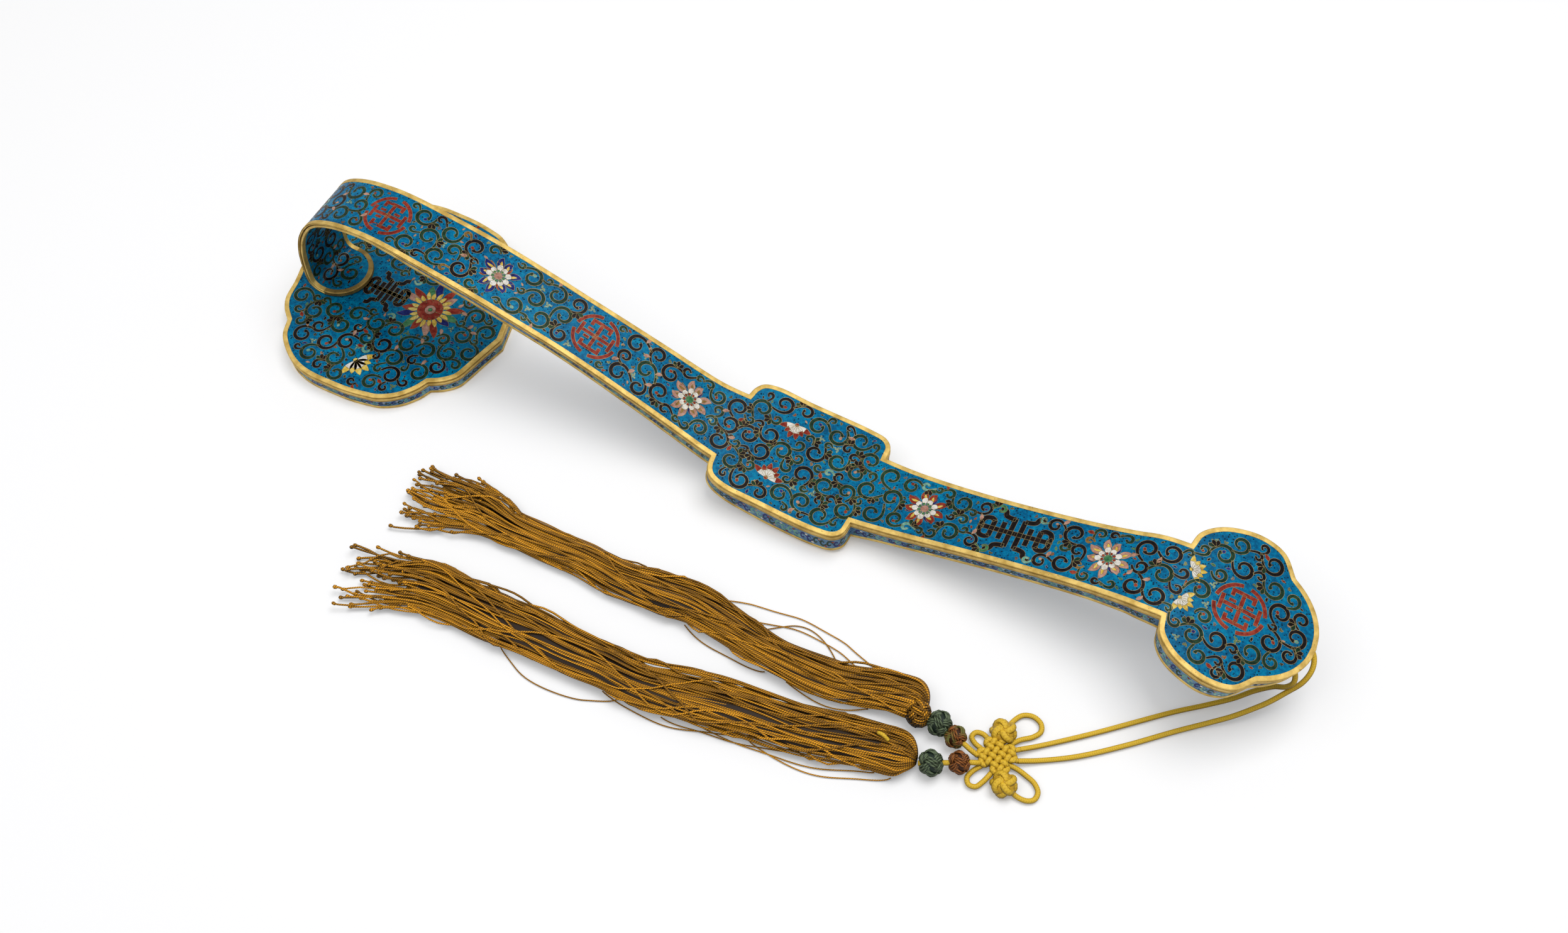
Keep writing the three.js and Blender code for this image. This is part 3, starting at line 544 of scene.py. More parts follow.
@dataclass(frozen=True)
class BraidedSilk:
    """Round braided silk cord: eight bundles crossing, so that two rows of chevrons run along it.

    The UV map holds millimetres along the cord and the share of a turn. Silk shines softly along
    each bundle; the valleys between bundles get painted shade, and so do the cord's sides that face down.
    """

    name: str
    thread: str
    shade: str
    pitch_mm: float = 1.15
    rows: int = 6
    lean: float = 0.62
    roughness: float = 0.5
    # flank: how dark the painted shade on the cord's down-facing sides gets
    flank: float = 0.28

    def build(self) -> Finish:
        """Make the material."""
        material, tree, shader = new_material(self.name)
        uv = add_node(tree, "UVMap", {"uv_map": "along_and_round"})
        parts = add_node(tree, "SeparateXYZ", inputs={"Vector": uv}).outputs
        row = add_node(tree, "Math", {"operation": "MULTIPLY"}, {0: parts["Y"], 1: self.rows})
        fold = add_node(tree, "Math", {"operation": "PINGPONG"}, {0: row, 1: 1})
        run = add_node(tree, "Math", {"operation": "DIVIDE"}, {0: parts["X"], 1: self.pitch_mm})
        lean = add_node(tree, "Math", {"operation": "MULTIPLY_ADD"}, {0: fold, 1: self.lean, 2: run})
        wave = add_node(tree, "Math", {"operation": "PINGPONG"}, {0: lean, 1: 0.5})
        edge = add_node(tree, "Math", {"operation": "PINGPONG"}, {0: row, 1: 0.5})
        valley = add_node(tree, "Math", {"operation": "MULTIPLY_ADD"}, {0: edge, 1: 0.5, 2: wave})
        # The shade colour paints shade in the valleys between bundles
        tone = add_node(tree, "ValToRGB", inputs={"Fac": valley}, stops=[
            (0.04, colour(self.shade)), (0.34, colour(self.thread)),
        ])
        # Painted shade: the less a face points up, the darker it is, down to the flank level
        normal = add_node(tree, "NewGeometry").outputs["Normal"]
        up = add_node(tree, "SeparateXYZ", inputs={"Vector": normal}).outputs["Z"]
        painted_flank_shade = add_node(tree, "MapRange", inputs={
            "Value": up, "From Min": 0.05, "From Max": 0.85, "To Min": self.flank, "To Max": 1,
        })
        varied = add_node(tree, "Mix", {"data_type": "RGBA", "blend_type": "MULTIPLY"}, {
            "Factor": 1, 6: tone, 7: painted_flank_shade,
        })
        feed(shader, {
            "Base Color": varied.outputs[2],
            "Normal": add_node(tree, "Bump", inputs={
                "Height": valley, "Strength": 0.45, "Distance": 0.3 * METRES_PER_MM,
            }),
            "Roughness": self.roughness,
            "Specular IOR Level": 0.25,
        })
        return material


@dataclass(frozen=True)
class TwistedSilk:
    """Two-ply twisted silk: plies wound round each other, seen as slanting bands.

    The UV map holds millimetres along the strand and the share of a turn. Each ply keeps its thread
    colour on its back and gets painted shade where it meets the next, and a strand's sides get painted
    shade, the more the less they face up, as if they lay in the valleys between strands.
    """

    name: str
    thread: str
    shade: str
    pitch_mm: float = 0.9
    plies: int = 2
    streak_mm: float = 9
    roughness: float = 0.5
    patch: str | None = None
    strand_variation: float = 0.5
    dimmest: float = 0.72
    brightest: float = 1.12
    # valley: how dark the painted shade on a strand's down-facing sides gets; 1 paints none
    valley: float = 1.0

    def build(self) -> Finish:
        """Make the material."""
        material, tree, shader = new_material(self.name)
        uv = add_node(tree, "UVMap", {"uv_map": "along_and_round"})
        parts = add_node(tree, "SeparateXYZ", inputs={"Vector": uv}).outputs
        run = add_node(tree, "Math", {"operation": "DIVIDE"}, {0: parts["X"], 1: self.pitch_mm})
        turn = add_node(tree, "Math", {"operation": "MULTIPLY_ADD"}, {0: parts["Y"], 1: self.plies, 2: run})
        wave = add_node(tree, "Math", {"operation": "PINGPONG"}, {0: turn, 1: 0.5})
        # The shade colour paints shade in the crease where one ply meets the next
        tone = add_node(tree, "ValToRGB", inputs={"Fac": wave}, stops=[
            (0.05, colour(self.shade)), (0.3, colour(self.thread)),
        ])
        place = add_node(tree, "TexCoord").outputs["Object"]
        streak = add_node(tree, "TexNoise", inputs={
            "Vector": place, "Scale": per_metre(self.streak_mm), "Detail": 3,
        })
        geometry = add_node(tree, "NewGeometry").outputs
        uneven = add_node(tree, "Math", {"operation": "MULTIPLY_ADD"}, {
            0: geometry["Random Per Island"], 1: self.strand_variation, 2: streak,
        })
        level = add_node(tree, "MapRange", inputs={
            "Value": uneven, "From Min": 0.35, "From Max": 0.65 + self.strand_variation,
            "To Min": self.dimmest, "To Max": self.brightest,
        })
        # Painted shade: the less a face points up, the darker it is, down to the valley level
        up = add_node(tree, "SeparateXYZ", inputs={"Vector": geometry["Normal"]}).outputs["Z"]
        painted_flank_shade = add_node(tree, "MapRange", inputs={
            "Value": up, "From Min": 0.35, "From Max": 0.92, "To Min": self.valley, "To Max": 1,
        })
        shaded = add_node(tree, "Math", {"operation": "MULTIPLY"}, {0: level, 1: painted_flank_shade})
        paint = add_node(tree, "Mix", {"data_type": "RGBA", "blend_type": "MULTIPLY"}, {
            "Factor": 1, 6: tone, 7: shaded,
        }).outputs[2]
        if self.patch:
            spot = add_node(tree, "ValToRGB", inputs={"Fac": streak}, stops=[
                (0.47, grey(0)), (0.53, grey(1)),
            ])
            paint = add_node(tree, "Mix", {"data_type": "RGBA"}, {
                "Factor": spot, 6: paint, 7: colour(self.patch),
            }).outputs[2]
        feed(shader, {
            "Base Color": paint,
            "Normal": add_node(tree, "Bump", inputs={
                "Height": wave, "Strength": 0.7, "Distance": 0.3 * METRES_PER_MM,
            }),
            "Roughness": self.roughness,
            "Specular IOR Level": 0.22,
        })
        return material


# The scepter's form, with the same sizes as the solids


@dataclass(frozen=True)
class BarSizes:
    """Sizes of the scepter in millimetres."""

    head_length: float = 99
    riser_setback: float = 11.2
    neck_reach: float = 197.3
    curl_reach: float = 40.3
    boss_length: float = 61.2
    lower_length: float = 120.4
    tail_length: float = 54
    tongue_length: float = 20.9
    head_width: float = 102.4
    strap_width: float = 26.8
    corner_width: float = 32.8
    waist_width: float = 27.9
    boss_width: float = 52.6
    tail_width: float = 65
    notch_width: float = 45.2
    curl_height: float = 65.2
    boss_sag: float = 5.06
    tail_rise: float = 28.2
    tail_droop: float = 7.6
    foot_radius: float = 6
    head_thickness: float = 8.4
    strap_thickness: float = 2.4
    neck_thickness: float = 4.8
    upper_thickness: float = 6.4
    corner_thickness: float = 8.5
    boss_thickness: float = 12.4
    lower_thickness: float = 9.6
    waist_thickness: float = 8.3
    tail_thickness: float = 10.6
    tip_thickness: float = 6
    boss_crown: float = 1.4
    rim_width: float = 2.0
    back_rim_height: float = 3.9
    back_rim_share: float = 0.41
    front_rim_height: float = 1.4
    front_inset: float = 0.3
    inset_slope_share: float = 0.85
    enamel_recess: float = 0.15
    gap: float = 0.3
    sheet: float = 1.2
    band_inset: float = 0.3
    band_wall: float = 1.1
    least_band_height: float = 0.5
    least_ornament_height: float = 1.6
    eye_setback: float = 9.2
    eye_span: float = 5.4
    eye_drop: float = 4.8
    eye_wire: float = 1.2

    @property
    def length(self) -> float:
        """Return the scepter's whole length."""
        return self.riser_setback + self.neck_reach + self.boss_length + self.lower_length + self.tail_length

    @property
    def head_end(self) -> float:
        """Return where the head ends along X."""
        return -self.length / 2

    @property
    def riser(self) -> float:
        """Return where the strap's outer face stands along X."""
        return self.head_end + self.riser_setback

    @property
    def boss_start(self) -> float:
        """Return where the boss starts along X."""
        return self.riser + self.neck_reach

    @property
    def boss_end(self) -> float:
        """Return where the boss ends along X."""
        return self.boss_start + self.boss_length

    @property
    def tail_start(self) -> float:
        """Return where the tail starts along X."""
        return self.boss_end + self.lower_length


BAR = BarSizes()

# The back's side view, as shares of each stretch's length and of its rise or fall
CURL_PROFILE = [(0, 0.228), (0.037, 0.447), (0.141, 0.659), (0.337, 0.855), (0.628, 0.962), (1, 1)]
NECK_FALL = [
    (0.064, 0.011), (0.153, 0.065), (0.306, 0.178), (0.465, 0.339),
    (0.624, 0.523), (0.78, 0.73), (0.936, 0.947), (1, 1),
]
BOSS_FALL = [(0.25, 0.51), (0.523, 0.822), (0.817, 1), (1, 0.97)]
LOWER_RISE = [
    (0.11, 0.058), (0.264, 0.198), (0.488, 0.444), (0.704, 0.7), (0.841, 0.868), (0.908, 0.954), (1, 1),
]
TAIL_FALL = [(0.2, 0.08), (0.433, 0.276), (0.724, 0.645), (1, 1)]
# The outlines, as shares of each stretch's length and of its change in half width
NECK_EDGE = [
    (0, 0), (0.25, 0), (0.41, 0.15), (0.52, 0.23), (0.63, 0.22), (0.7, 0.16),
    (0.77, 0.23), (0.845, 0.37), (0.917, 0.5), (0.953, 0.63), (1, 1),
]
BOSS_EDGE = [
    (0, 0), (0.013, 0.41), (0.052, 0.77), (0.147, 0.98), (0.4, 1),
    (0.817, 1), (0.94, 0.87), (0.99, 0.55), (1, 0),
]
LOWER_EDGE = [(0, 1), (0.11, 0.6), (0.264, 0.22), (0.45, 0), (0.7, 0.1), (0.84, 0.48), (0.93, 0.9), (1, 1)]
TAIL_LOBE = [(0, 0), (0.024, 0.34), (0.093, 0.615), (0.202, 0.84), (0.415, 1), (0.598, 0.86)]
NOTCH_AT = 0.72
TAIL_END = [(0.8, 0.88), (0.87, 0.735), (0.933, 0.545), (0.983, 0.28), (1, 0)]
HEAD_END = [
    (0, 0), (0.003, 0.096), (0.018, 0.2), (0.028, 0.273), (0.034, 0.342), (0.045, 0.434), (0.075, 0.53),
]
HEAD_NOTCH = (0.123, 0.617)
HEAD_LOBE = [
    (0.15, 0.752), (0.189, 0.836), (0.25, 0.924), (0.312, 0.975), (0.379, 0.998), (0.464, 1),
    (0.56, 0.992), (0.648, 0.965), (0.697, 0.941), (0.768, 0.854), (0.821, 0.725),
]
CHIN_NOTCH = (0.844, 0.625)
CHIN = [(0.894, 0.566), (0.939, 0.471), (0.956, 0.361), (0.973, 0.213), (1, 0)]
EDGE_STEP = 0.9
# Creases filed along the back rim's side: how far in, at shares of the rim's height
RIM_SIDE = [
    (0.03, 0.11), (0.8, 0.15), (0.8, 0.32), (0.03, 0.37), (0, 0.45), (0, 0.7),
    (0.05, 0.73), (0.55, 0.76), (0.55, 0.85), (0.05, 0.88), (0.1, 0.93), (0.35, 1),
]


class Spine:
    """The back seen from the side, as a curve along which stations are measured."""

    def __init__(self, boss_height: float) -> None:
        """Lay the curve.

        Args:
            boss_height: Height of the boss's back at its lowest point.
        """
        tongue_z = BAR.head_thickness + BAR.gap - BAR.enamel_recess
        crest = BAR.riser + BAR.curl_reach
        neck_end = boss_height + BAR.boss_sag
        boss_end = boss_height + BAR.boss_sag * (1 - BOSS_FALL[-1][1])
        tail_height = boss_end + BAR.tail_rise
        points = [
            (BAR.riser + BAR.tongue_length, tongue_z),
            (BAR.riser + (BAR.tongue_length + BAR.foot_radius) / 2, tongue_z),
        ]
        for turn in (0, 0.25, 0.5, 0.75, 1):
            angle = turn * math.pi / 2
            x = BAR.riser + BAR.foot_radius * (1 - math.sin(angle))
            points.append((x, tongue_z + BAR.foot_radius * (1 - math.cos(angle))))
        rise = BAR.curl_height - BAR.head_thickness
        points += [(BAR.riser + BAR.curl_reach * u, BAR.head_thickness + rise * h) for u, h in CURL_PROFILE]
        stretches = [
            (crest, BAR.neck_reach - BAR.curl_reach, BAR.curl_height, neck_end - BAR.curl_height, NECK_FALL),
            (BAR.boss_start, BAR.boss_length, neck_end, -BAR.boss_sag, BOSS_FALL),
            (BAR.boss_end, BAR.lower_length, boss_end, BAR.tail_rise, LOWER_RISE),
            (BAR.tail_start, BAR.tail_length, tail_height, -BAR.tail_droop, TAIL_FALL),
        ]
        for start, length, height, change, table in stretches:
            points += [(start + length * u, height + change * h) for u, h in table]
        self.points = resampled(curve_through(points, 60), 2001)
        self.length = float(travelled(self.points)[-1])
        self.at = np.linspace(0, self.length, len(self.points))
        self.tangents = unit(np.gradient(self.points, axis=0))
        self.crest = self.station(crest)
        self.neck_end = self.station(BAR.boss_start)
        self.boss_end = self.station(BAR.boss_end)
        self.tail_start = self.station(BAR.tail_start)

    def station(self, x: float) -> float:
        """Return the station at a place along X, beyond the curl."""
        beyond = int(np.argmin(self.points[:, 0]))
        return float(np.interp(x, self.points[beyond:, 0], self.at[beyond:]))

    def place(self, u: Row, v: Row, depth: Row | float) -> Points:
        """Return points at stations, distances across and depths below the back."""
        u, v, depth = np.broadcast_arrays(np.asarray(u, float), v, depth)
        x, z = (np.interp(u, self.at, self.points[:, i]) for i in range(2))
        past = np.maximum(u - self.length, 0)
        dx, dz = (np.interp(u, self.at, self.tangents[:, i]) for i in range(2))
        size = np.hypot(dx, dz)
        dx, dz = dx / size, dz / size
        return np.stack([x + dx * past + dz * depth, v, z + dz * past - dx * depth], axis=-1)


class Bar:
    """The bent bar's thickness, crown and layers along its spine."""

    def __init__(self) -> None:
        """Set the spine at the height where the boss just touches the table."""
        trial = Spine(BAR.boss_thickness)
        self._measure(trial)
        stations = np.linspace(trial.neck_end, trial.boss_end, 901)
        deep = self.thickness(stations) - BAR.enamel_recess + self.crown(stations)
        lowest = float(trial.place(stations, 0 * stations, deep)[:, 2].min())
        self.spine = Spine(BAR.boss_thickness - lowest)
        self._measure(self.spine)

    def _measure(self, spine: Spine) -> None:
        """Tie the thickness to a spine's stations."""
        self.spine = spine

        def at(start: float, length: float, share: float) -> float:
            """Return a station by its share of a stretch."""
            return spine.station(start + length * share)

        crest = BAR.riser + BAR.curl_reach
        neck = BAR.neck_reach - BAR.curl_reach
        self.thickness = smooth_value([
            (0, BAR.strap_thickness),
            (spine.crest, BAR.strap_thickness),
            (at(crest, neck, 0.15), BAR.neck_thickness),
            (at(crest, neck, 0.58), BAR.upper_thickness),
            (spine.neck_end, BAR.corner_thickness),
            (at(BAR.boss_start, BAR.boss_length, 0.5), BAR.boss_thickness),
            (at(BAR.boss_start, BAR.boss_length, 0.85), BAR.boss_thickness),
            (at(BAR.boss_end, BAR.lower_length, 0.1), BAR.lower_thickness),
            (at(BAR.boss_end, BAR.lower_length, 0.75), BAR.waist_thickness),
            (at(BAR.tail_start, BAR.tail_length, 0.15), BAR.tail_thickness),
            (at(BAR.tail_start, BAR.tail_length, 0.45), BAR.tail_thickness),
            (spine.length, BAR.tip_thickness),
        ])

    def crown(self, u: Row) -> Row:
        """Return how far the front face bulges at each station."""
        share = 2 * (np.asarray(u) - self.spine.neck_end) / (self.spine.boss_end - self.spine.neck_end) - 1
        return np.where(np.abs(share) < 1, BAR.boss_crown * (1 - share**6), 0)


class Layers:
    """Depths and insets of rims and band at a row of stations."""

    def __init__(self, thickness: Row) -> None:
        """Share the thickness out."""
        self.thickness = thick = np.asarray(thickness, dtype=float)
        self.back_rim = np.minimum(BAR.back_rim_height, BAR.back_rim_share * thick)
        self.front_rim = thick - np.minimum(BAR.front_rim_height, thick - self.back_rim - BAR.gap)
        self.band_top = self.back_rim + BAR.gap
        self.band_bottom = self.front_rim - BAR.gap
        slope = (self.band_bottom - self.band_top) * BAR.inset_slope_share
        self.inset = np.clip(slope, 0, BAR.front_inset)


class Outline:
    """A closed outline of named runs on a flattened back, with mitred insets."""

    def __init__(self, runs: dict[str, Points]) -> None:
        """Join the runs.

        Args:
            runs: Each run's points, the last of one being the first of the next.
        """
        self.spans: dict[str, tuple[int, int]] = {}
        parts: list[Points] = []
        count = 0
        for name, points in runs.items():
            self.spans[name] = (count, count + len(points) - 1)
            parts.append(points[:-1])
            count += len(points) - 1
        self.points = np.vstack(parts)
        following = np.roll(self.points, -1, axis=0)
        area = np.sum(self.points[:, 0] * following[:, 1] - self.points[:, 1] * following[:, 0])
        along = unit(following - self.points)
        left = np.stack([-along[:, 1], along[:, 0]], axis=1) * np.sign(area)
        before = np.roll(left, 1, axis=0)
        middle = unit(before + left)
        self.inward = middle / np.maximum(np.sum(middle * left, axis=1, keepdims=True), 0.35)

    def run(self, name: str) -> tuple[Points, Points]:
        """Return a run's points with their inward directions."""
        first, last = self.spans[name]
        index = np.arange(first, last + 1) % len(self.points)
        return self.points[index], self.inward[index]

    def half_width(self, inset_at: Callable[[Row], Row], step: float) -> tuple[Row, Row]:
        """Measure a panel across.

        Args:
            inset_at: The panel's inset from the outline at given stations.
            step: The widest gap between stations.

        Returns:
            Rising stations and the panel's half width at each.
        """
        inner = self.points + self.inward * inset_at(self.points[:, 0])[:, None]
        keep = (self.points[:, 1] > -BAR.gap) & (inner[:, 1] > 0.02)
        inner = inner[keep]
        inner = inner[np.argsort(inner[:, 0])]
        chosen = [inner[0]]
        for point in inner[1:]:
            if point[0] - chosen[-1][0] > 0.03:
                chosen.append(point)
        line = np.array(chosen)
        extra = np.arange(line[0, 0], line[-1, 0], step)
        stations = np.unique(np.round(np.concatenate([line[:, 0], extra]), 3))
        return stations, np.interp(stations, line[:, 0], line[:, 1])


def head_outline() -> Outline:
    """Return the cloud-shaped head's outline."""

    def on_head(rows: Shares) -> Shares:
        """Scale shares to the head's size."""
        return [(BAR.head_end + BAR.head_length * u, v * BAR.head_width / 2) for u, v in rows]

    end = even_curve(on_head([*HEAD_END, HEAD_NOTCH]), EDGE_STEP)
    lobe = even_curve(on_head([HEAD_NOTCH, *HEAD_LOBE, CHIN_NOTCH]), EDGE_STEP)
    chin = even_curve(on_head([CHIN_NOTCH, *CHIN]), EDGE_STEP)
    return Outline({
        "end": np.vstack([mirrored(end)[:-1], end]),
        "far": lobe,
        "chin": np.vstack([chin, mirrored(chin)[1:]]),
        "near": mirrored(lobe),
    })


def mirrored(points: Points) -> Points:
    """Return a far run as the near one, listed the other way round."""
    return (points * [1, -1])[::-1]


def bar_outline(spine: Spine) -> Outline:
    """Return the outline of strap, shaft, boss and tail on the flattened back."""
    strap = BAR.strap_width / 2
    corner = BAR.corner_width / 2

    def run(start: float, end: float, low: float, high: float, shares: Shares) -> Points:
        """Scale one edge's shares and smooth it."""
        rows = [(start + (end - start) * u, low + (high - low) * v) for u, v in shares]
        return even_curve(rows, EDGE_STEP)

    angles = np.linspace(-math.pi / 2, math.pi / 2, 41)
    tongue = np.stack([strap * (1 - np.cos(angles)), strap * np.sin(angles)], axis=1)
    tail = spine.length - spine.tail_start
    notch = (spine.tail_start + tail * NOTCH_AT, BAR.notch_width / 2)
    widening = BAR.tail_width / 2 - corner
    lobe_rows = [(spine.tail_start + tail * u, corner + widening * v) for u, v in TAIL_LOBE]
    lobe = even_curve([*lobe_rows, notch], EDGE_STEP)
    end = even_curve([notch, *[(spine.tail_start + tail * u, notch[1] * v) for u, v in TAIL_END]], EDGE_STEP)
    neck = run(strap, spine.neck_end, strap, corner, NECK_EDGE)
    boss = run(spine.neck_end, spine.boss_end, corner, BAR.boss_width / 2, BOSS_EDGE)
    lower = run(spine.boss_end, spine.tail_start, BAR.waist_width / 2, corner, LOWER_EDGE)
    return Outline({
        "tongue": tongue,
        "neck_far": neck,
        "boss_far": boss,
        "lower_far": lower,
        "tail_far": lobe,
        "tail_end": np.vstack([end, mirrored(end)[1:]]),
        "tail_near": mirrored(lobe),
        "lower_near": mirrored(lower),
        "boss_near": mirrored(boss),
        "neck_near": mirrored(neck),
    })


def swept(name: str, rings: Points, material: Finish) -> Piece:
    """Make a closed solid through a row of equal rings.

    Args:
        name: The piece's name.
        rings: Ring by ring, point by point, in millimetres.
        material: Its finish.

    Returns:
        The object, its faces pointing out.
    """
    stops, sides, _ = rings.shape
    index = np.arange(stops * sides).reshape(stops, sides)
    a, b = index[:-1], np.roll(index, -1, axis=1)[:-1]
    c, d = np.roll(index, -1, axis=1)[1:], index[1:]
    faces = np.stack([a, b, c, d], axis=-1).reshape(-1, 4).tolist()
    faces += [index[0][::-1].tolist(), index[-1].tolist()]
    made = make_object(name, rings.reshape(-1, 3), faces, material, smooth=False)
    shell = bmesh.new()
    shell.from_mesh(made.data)
    bmesh.ops.recalc_face_normals(shell, faces=shell.faces)
    shell.to_mesh(made.data)
    shell.free()
    crease_edges(made)
    return made


def rim_section(height: Row, top: Row, inset: Row, is_back: bool) -> list[tuple]:
    """Return a rim's section as (inset, depth) corners, one array per corner.

    The back rim is a flat band with a burnished round corner, then a filed crease and a plain side.

    Args:
        height: The rim's height at each stop.
        top: The depth it starts at.
        inset: Its outer face's inset.
        is_back: Whether it is the wide rim on the back edge.

    Returns:
        The corners, in order round the section.
    """
    width = BAR.rim_width
    if not is_back:
        soft = np.minimum(0.25, height * 0.3)
        return [
            (inset + width, top), (inset + soft, top), (inset, top + soft),
            (inset, top + height - soft), (inset + soft, top + height), (inset + width, top + height),
        ]
    soft = np.minimum(0.42, 0.12 * height)
    corners = [(inset + width, top + height), (inset + width, top + 0.08), (inset + width - 0.08, top)]
    for angle in np.radians([0, 22.5, 45, 67.5, 90]):
        corners.append((inset + soft * (1 - math.sin(angle)), top + soft * (1 - math.cos(angle))))
    for nook, share in RIM_SIDE:
        corners.append((inset + nook, top + height * share))
    return corners


def section_rings(
    points: Points, inward: Points, corners: Sequence[tuple[Row | float, Row | float]], place: Place
) -> Points:
    """Carry a section along a run of an outline.

    Args:
        points: The run's points.
        inward: Its inward directions.
        corners: The section's corners as (inset, depth), each one value or one for each point.
        place: Puts surface points into space.

    Returns:
        Ring by ring, corner by corner.
    """
    rings = []
    for inset, depth in corners:
        flat = points + inward * np.reshape(inset, (-1, 1))
        rings.append(place(flat[:, 0], flat[:, 1], depth))
    return np.stack(rings, axis=1)


class EdgeTrim:
    """Rims and side bands along an outline's runs."""

    def __init__(self, prefix: str, outline: Outline, place: Place, layers: Callable[[Row], Layers]) -> None:
        """Keep what the trim follows.

        Args:
            prefix: What its nodes' names start with.
            outline: The outline it follows.
            place: Puts surface points into space.
            layers: Gives depths and insets at stations.
        """
        self.prefix = prefix
        self.outline = outline
        self.place = place
        self.layers = layers

    def node(self, run: str, part: str) -> str:
        """Return the solid's name for one part of one run."""
        return f"head_{part}_{run}" if self.prefix == "head" else f"{run}_{part}"

    def _deep(self, run: str, least: float) -> tuple[Points, Points, Layers]:
        """Return the points, inward directions and layers of a run, where its band is deep enough."""
        points, inward = self.outline.run(run)
        at = self.layers(points[:, 0])
        deep = at.band_bottom - at.band_top > least
        return points[deep], inward[deep], self.layers(points[deep, 0])

    def strip(self, run: str, part: str, material: Finish, slot: Slot) -> Piece:
        """Make one rim or band of one run.

        Args:
            run: The outline's run.
            part: back_rim, side_band or front_rim.
            material: Its finish.
            slot: Its slot.

        Returns:
            The piece.
        """
        points, inward = self.outline.run(run)
        at = self.layers(points[:, 0])
        if part == "back_rim":
            corners = rim_section(at.back_rim, 0 * at.back_rim, 0 * at.back_rim, True)
        elif part == "front_rim":
            corners = rim_section(at.thickness - at.front_rim, at.front_rim, at.inset, False)
        else:
            points, inward, at = self._deep(run, BAR.least_band_height)
            top, bottom = at.band_top - BAR.gap, at.band_bottom + BAR.gap
            outer, wall = BAR.band_inset + 0 * at.inset, BAR.band_wall
            corners = [
                (outer + wall, top), (outer, top), (outer + at.inset / 2, (top + bottom) / 2),
                (outer + at.inset, bottom), (outer + wall + at.inset, bottom),
            ]
        node = self.node(run, part)
        piece = swept(f"dressed_{node}", section_rings(points, inward, corners, self.place), material)
        return stands_for(piece, slot, node)

    def band_place(self, run: str) -> tuple[Place, float, float]:
        """Return a placing of (run length, height) on a side band, its length and least height."""
        points, inward, at = self._deep(run, BAR.least_ornament_height)
        along = travelled(points)

        def place(s: Row, t: Row, depth: Row | float) -> Points:
            """Put a point on the band; t runs from 0 at the back rim to 1, depth goes inwards."""
            first, side = looked_up(s, along, points), looked_up(s, along, inward)
            top = np.interp(s, along, at.band_top)
            bottom = np.interp(s, along, at.band_bottom)
            inset = BAR.band_inset + t * np.interp(s, along, at.inset) + depth
            flat = first + side * inset[..., None]
            return self.place(flat[..., 0], flat[..., 1], top + (bottom - top) * t)

        height = float(np.min(at.band_bottom - at.band_top)) if len(points) else 0.0
        return place, float(along[-1]) if len(points) > 1 else 0.0, height


def panel(
    name: str, stations: Row, half: Row, top: Callable, bottom: Callable, place: Place,
    material: Finish, columns: int = 15,
) -> Piece:
    """Make an enamelled sheet from a grid shaped to its outline and bent to the bar.

    Args:
        name: The piece's name.
        stations: Rising stations.
        half: Half width at each.
        top: Depth of its outer face at (station, share across).
        bottom: Depth of its inner face.
        place: Puts surface points into space.
        material: Its finish.
        columns: Points across.

    Returns:
        The object.
    """
    share = np.linspace(-1, 1, columns)
    u = np.broadcast_to(stations[:, None], (len(stations), columns))
    v = half[:, None] * share[None]
    upper = place(u, v, top(u, share[None]))
    lower = place(u, v, bottom(u, share[None]))
    bpy.ops.object.select_all(action="DESELECT")
    bpy.ops.mesh.primitive_grid_add(x_subdivisions=columns - 1, y_subdivisions=len(stations) - 1, size=2)
    grid = bpy.context.object
    only(grid)
    bpy.ops.object.mode_set(mode="EDIT")
    bpy.ops.mesh.select_all(action="SELECT")
    bpy.ops.mesh.extrude_region_move(TRANSFORM_OT_translate={"value": (0, 0, -1)})
    bpy.ops.object.mode_set(mode="OBJECT")
    settle(grid, name, material)
    corners = np.zeros(len(grid.data.vertices) * 3)
    grid.data.vertices.foreach_get("co", corners)
    corners = corners.reshape(-1, 3)
    column = np.rint((corners[:, 0] + 1) / 2 * (columns - 1)).astype(int)
    row = np.rint((corners[:, 1] + 1) / 2 * (len(stations) - 1)).astype(int)
    on_top = corners[:, 2] > -0.5
    shaped = np.where(on_top[:, None], upper[row, column], lower[row, column]) * METRES_PER_MM
    grid.data.vertices.foreach_set("co", shaped.ravel())
    grid.data.update()
    only(grid)
    bpy.ops.object.mode_set(mode="EDIT")
    bpy.ops.mesh.select_all(action="SELECT")
    bpy.ops.mesh.normals_make_consistent(inside=False)
    bpy.ops.object.mode_set(mode="OBJECT")
    crease_edges(grid)
    return grid


# Enamel ornament: cells of coloured glass between brass wires


class Glaze(Enum):
    """Colours of glass laid in the cells: base, lit mottle and shaded mottle."""

    DARK_GREEN = ("1b3624", "2d4e35", "102216")
    LEAF_GREEN = ("3f7d52", "5c9668", "2b5a3c")
    BLACK = ("170f0f", "2b1f1c", "0b0708")
    PALE = ("6fa894", "92c0ac", "50877a")
    OCHRE = ("8c6a38", "a9864f", "63471f")
    RED = ("8f2f23", "a84a3a", "6a1c15")
    NAVY = ("1a2268", "2c3886", "0f1542")
    WHITE = ("e4e0d6", "f4f1ea", "c4bcb2")
    PINK = ("b98a7a", "cda594", "946757")
    YELLOW = ("e3c256", "f0d985", "b8922f")


WIRE_WIDTH = 0.12
# How far cells, wires and each further layer stand proud of the ground
CELL_LIFT = 0.04
WIRE_LIFT = 0.055
LAYER_LIFT = 0.016


def mitred(path: Points) -> Points:
    """Return the left-hand normals of a flat polyline, lengthened at its corners."""
    along = unit(np.diff(path, axis=0))
    left = np.stack([-along[:, 1], along[:, 0]], axis=1)
    before = np.vstack([left[:1], left])
    after = np.vstack([left, left[-1:]])
    middle = unit(before + after)
    return middle / np.clip(np.sum(middle * after, axis=1, keepdims=True), 0.6, 1)


